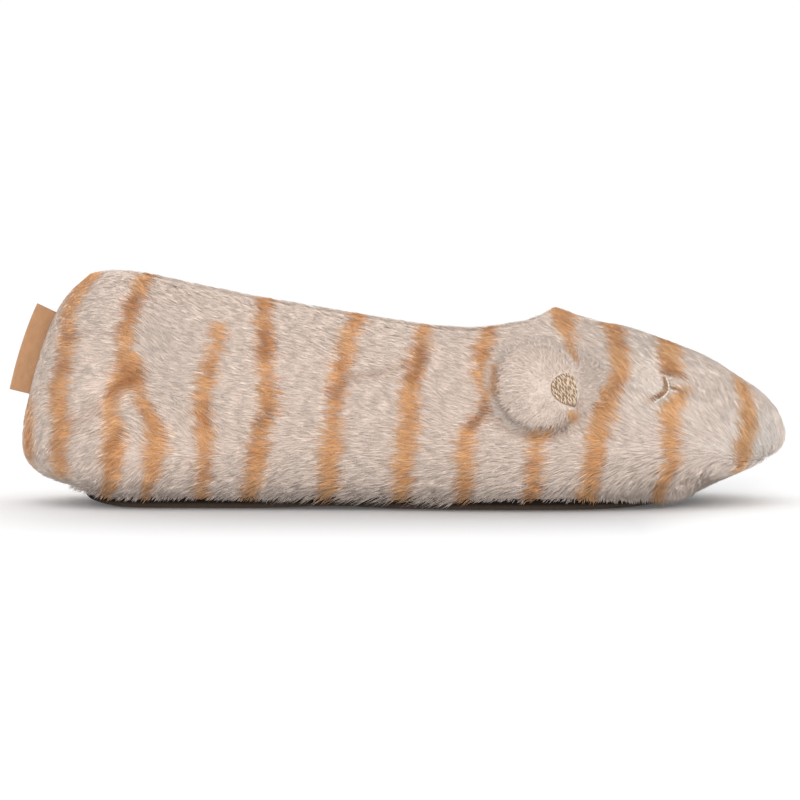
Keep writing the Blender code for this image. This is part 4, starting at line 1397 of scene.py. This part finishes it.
bpy.ops.object.select_all(action="DESELECT")
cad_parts["insole"].select_set(True)
bpy.context.view_layer.objects.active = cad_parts["insole"]
bpy.ops.object.duplicate()
footbed = bpy.context.object
footbed.name = footbed.data.name = "footbed_pad"
for key in list(footbed.keys()):
    del footbed[key]
footbed.data.materials.clear()
footbed.data.materials.append(bed_finish)
bpy.ops.object.mode_set(mode="EDIT")
bpy.ops.mesh.select_all(action="SELECT")
bpy.ops.mesh.remove_doubles(threshold=0.00002)
bpy.ops.mesh.subdivide(number_cuts=1)
bpy.ops.mesh.vertices_smooth(factor=0.5, repeat=3)
bpy.ops.object.mode_set(mode="OBJECT")
bpy.ops.object.shade_smooth()
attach(footbed, "root")
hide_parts("insole")
print("footbed:", len(footbed.data.polygons), "faces")

# %% [markdown]
# ## Sole
# The sole's solid has the right shape, so it stays and gets a matt dark rubber: a soft grain, a little
# dust, painted light that turns it brown close to the floor, painted shade that keeps it near black
# higher up under the fur, and small round grip dots as a fine relief in the material.

# %% Sole rubber
BOUNCE_LIGHT_FADE = 480
rubber_finish, shader, tint = new_finish("sole_rubber", {"Specular IOR Level": 0.05})
place = tint.node("ShaderNodeTexCoord", output="Object")
grain = tint.noise(place, 600, 4)
dust = tint.noise(place, 30, 5)
dots = tint.node("ShaderNodeTexVoronoi", None, {"Vector": place, "Scale": 260, "Randomness": 0.0})
height = tint.node("ShaderNodeSeparateXYZ", None, {"Vector": place}, output=2)
# Painted light and shade: brown low down, where floor bounce lights it, near black higher up in the fur's
# shadow.
lighter = tint.math("MAXIMUM", 1.0 - height * BOUNCE_LIGHT_FADE, 0.0)
bounce_light_and_dust = tint.math("MINIMUM", lighter * (0.6 + dust * 0.5) + grain * 0.15, 1.0)
feed(shader, bounce_light_and_dust.mixed((0.006, 0.005, 0.004, 1), (0.12, 0.085, 0.065, 1)), "Base Color")
feed(shader, 0.7 + 0.25 * dust, "Roughness")
feed(shader, tint.bump(grain * 0.25 - dots * 1.2, 0.6, 0.0008), "Normal")
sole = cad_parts["outsole"]
sole.data.materials.clear()
sole.data.materials.append(rubber_finish)

# %% [markdown]
# ## Light and floor
# The picture has a pale floor that fades to white and light from all round. A white sky does most of
# the work. A long, low lamp in front lights the flank evenly down to the hem, and a weak one above adds
# to the contact shadow. The floor itself has a painted shadow: it is a little greyer in front of the shoe
# and, further back, under the toe, where the picture has its soft shadow.

# %% Floor
SHADOW_LONG, SHADOW_WIDE, SHADOW_AHEAD, SHADOW_TOE_FROM, SHADOW_TOE_SLOPE = 0.128, 0.07, 0.05, 0.075, 2.6
bpy.ops.mesh.primitive_plane_add(size=24, location=(0, 0, 0))
floor = bpy.context.object
floor.name = "floor"
glow = {"Roughness": 0.9, "Emission Color": (1, 1, 1, 1), "Emission Strength": 0.06}
floor_finish, shader, tint = new_finish("pale_floor", glow)
place = tint.node("ShaderNodeTexCoord", output="Object")
along = tint.node("ShaderNodeSeparateXYZ", None, {"Vector": place})
under_toe = tint.math("MAXIMUM", along - SHADOW_TOE_FROM, 0.0)
ahead = tint.node("ShaderNodeSeparateXYZ", None, {"Vector": place}, output=1)
ahead = (ahead + SHADOW_AHEAD - under_toe * SHADOW_TOE_SLOPE) * (1 / SHADOW_WIDE)
along = along * (1 / SHADOW_LONG)
fall = along * along * along * along + ahead * ahead
# Painted shadow: the floor is greyer in front of the shoe and under the toe.
painted_shadow = tint.math("POWER", math.e, 0.0 - fall)
feed(shader, painted_shadow.mixed((0.94, 0.94, 0.94, 1), (0.60, 0.60, 0.61, 1)), "Base Color")
floor.data.materials.append(floor_finish)
print("floor:", floor.name)

# %% Lights
sky = bpy.data.worlds.new("white_sky")
sky.use_nodes = True
sky.node_tree.nodes["Background"].inputs["Color"].default_value = (1, 1, 1, 1)
sky.node_tree.nodes["Background"].inputs["Strength"].default_value = 1.05
bpy.context.scene.world = sky
bpy.context.scene.view_settings.view_transform = "Standard"


def soft_lamp(name, spot, aim, size, power):
    lamp = bpy.data.lights.new(name, "AREA")
    lamp.shape = "RECTANGLE"
    lamp.size, lamp.size_y = size
    lamp.energy = power
    thing = bpy.data.objects.new(name, lamp)
    thing.location = spot
    way = np.array(aim) - np.array(spot)
    lean = math.acos(-way[2] / np.linalg.norm(way))
    thing.rotation_euler = (lean, 0, math.atan2(way[1], way[0]) - math.pi / 2)
    bpy.context.scene.collection.objects.link(thing)


soft_lamp("top", (0.0, -0.1, 1.2), (0, 0, 0), (1.4, 1.4), 1.0)
soft_lamp("front", (0.0, -1.3, 0.07), (0, 0, 0.03), (1.6, 0.12), 8.2)
print("sky and two lamps")
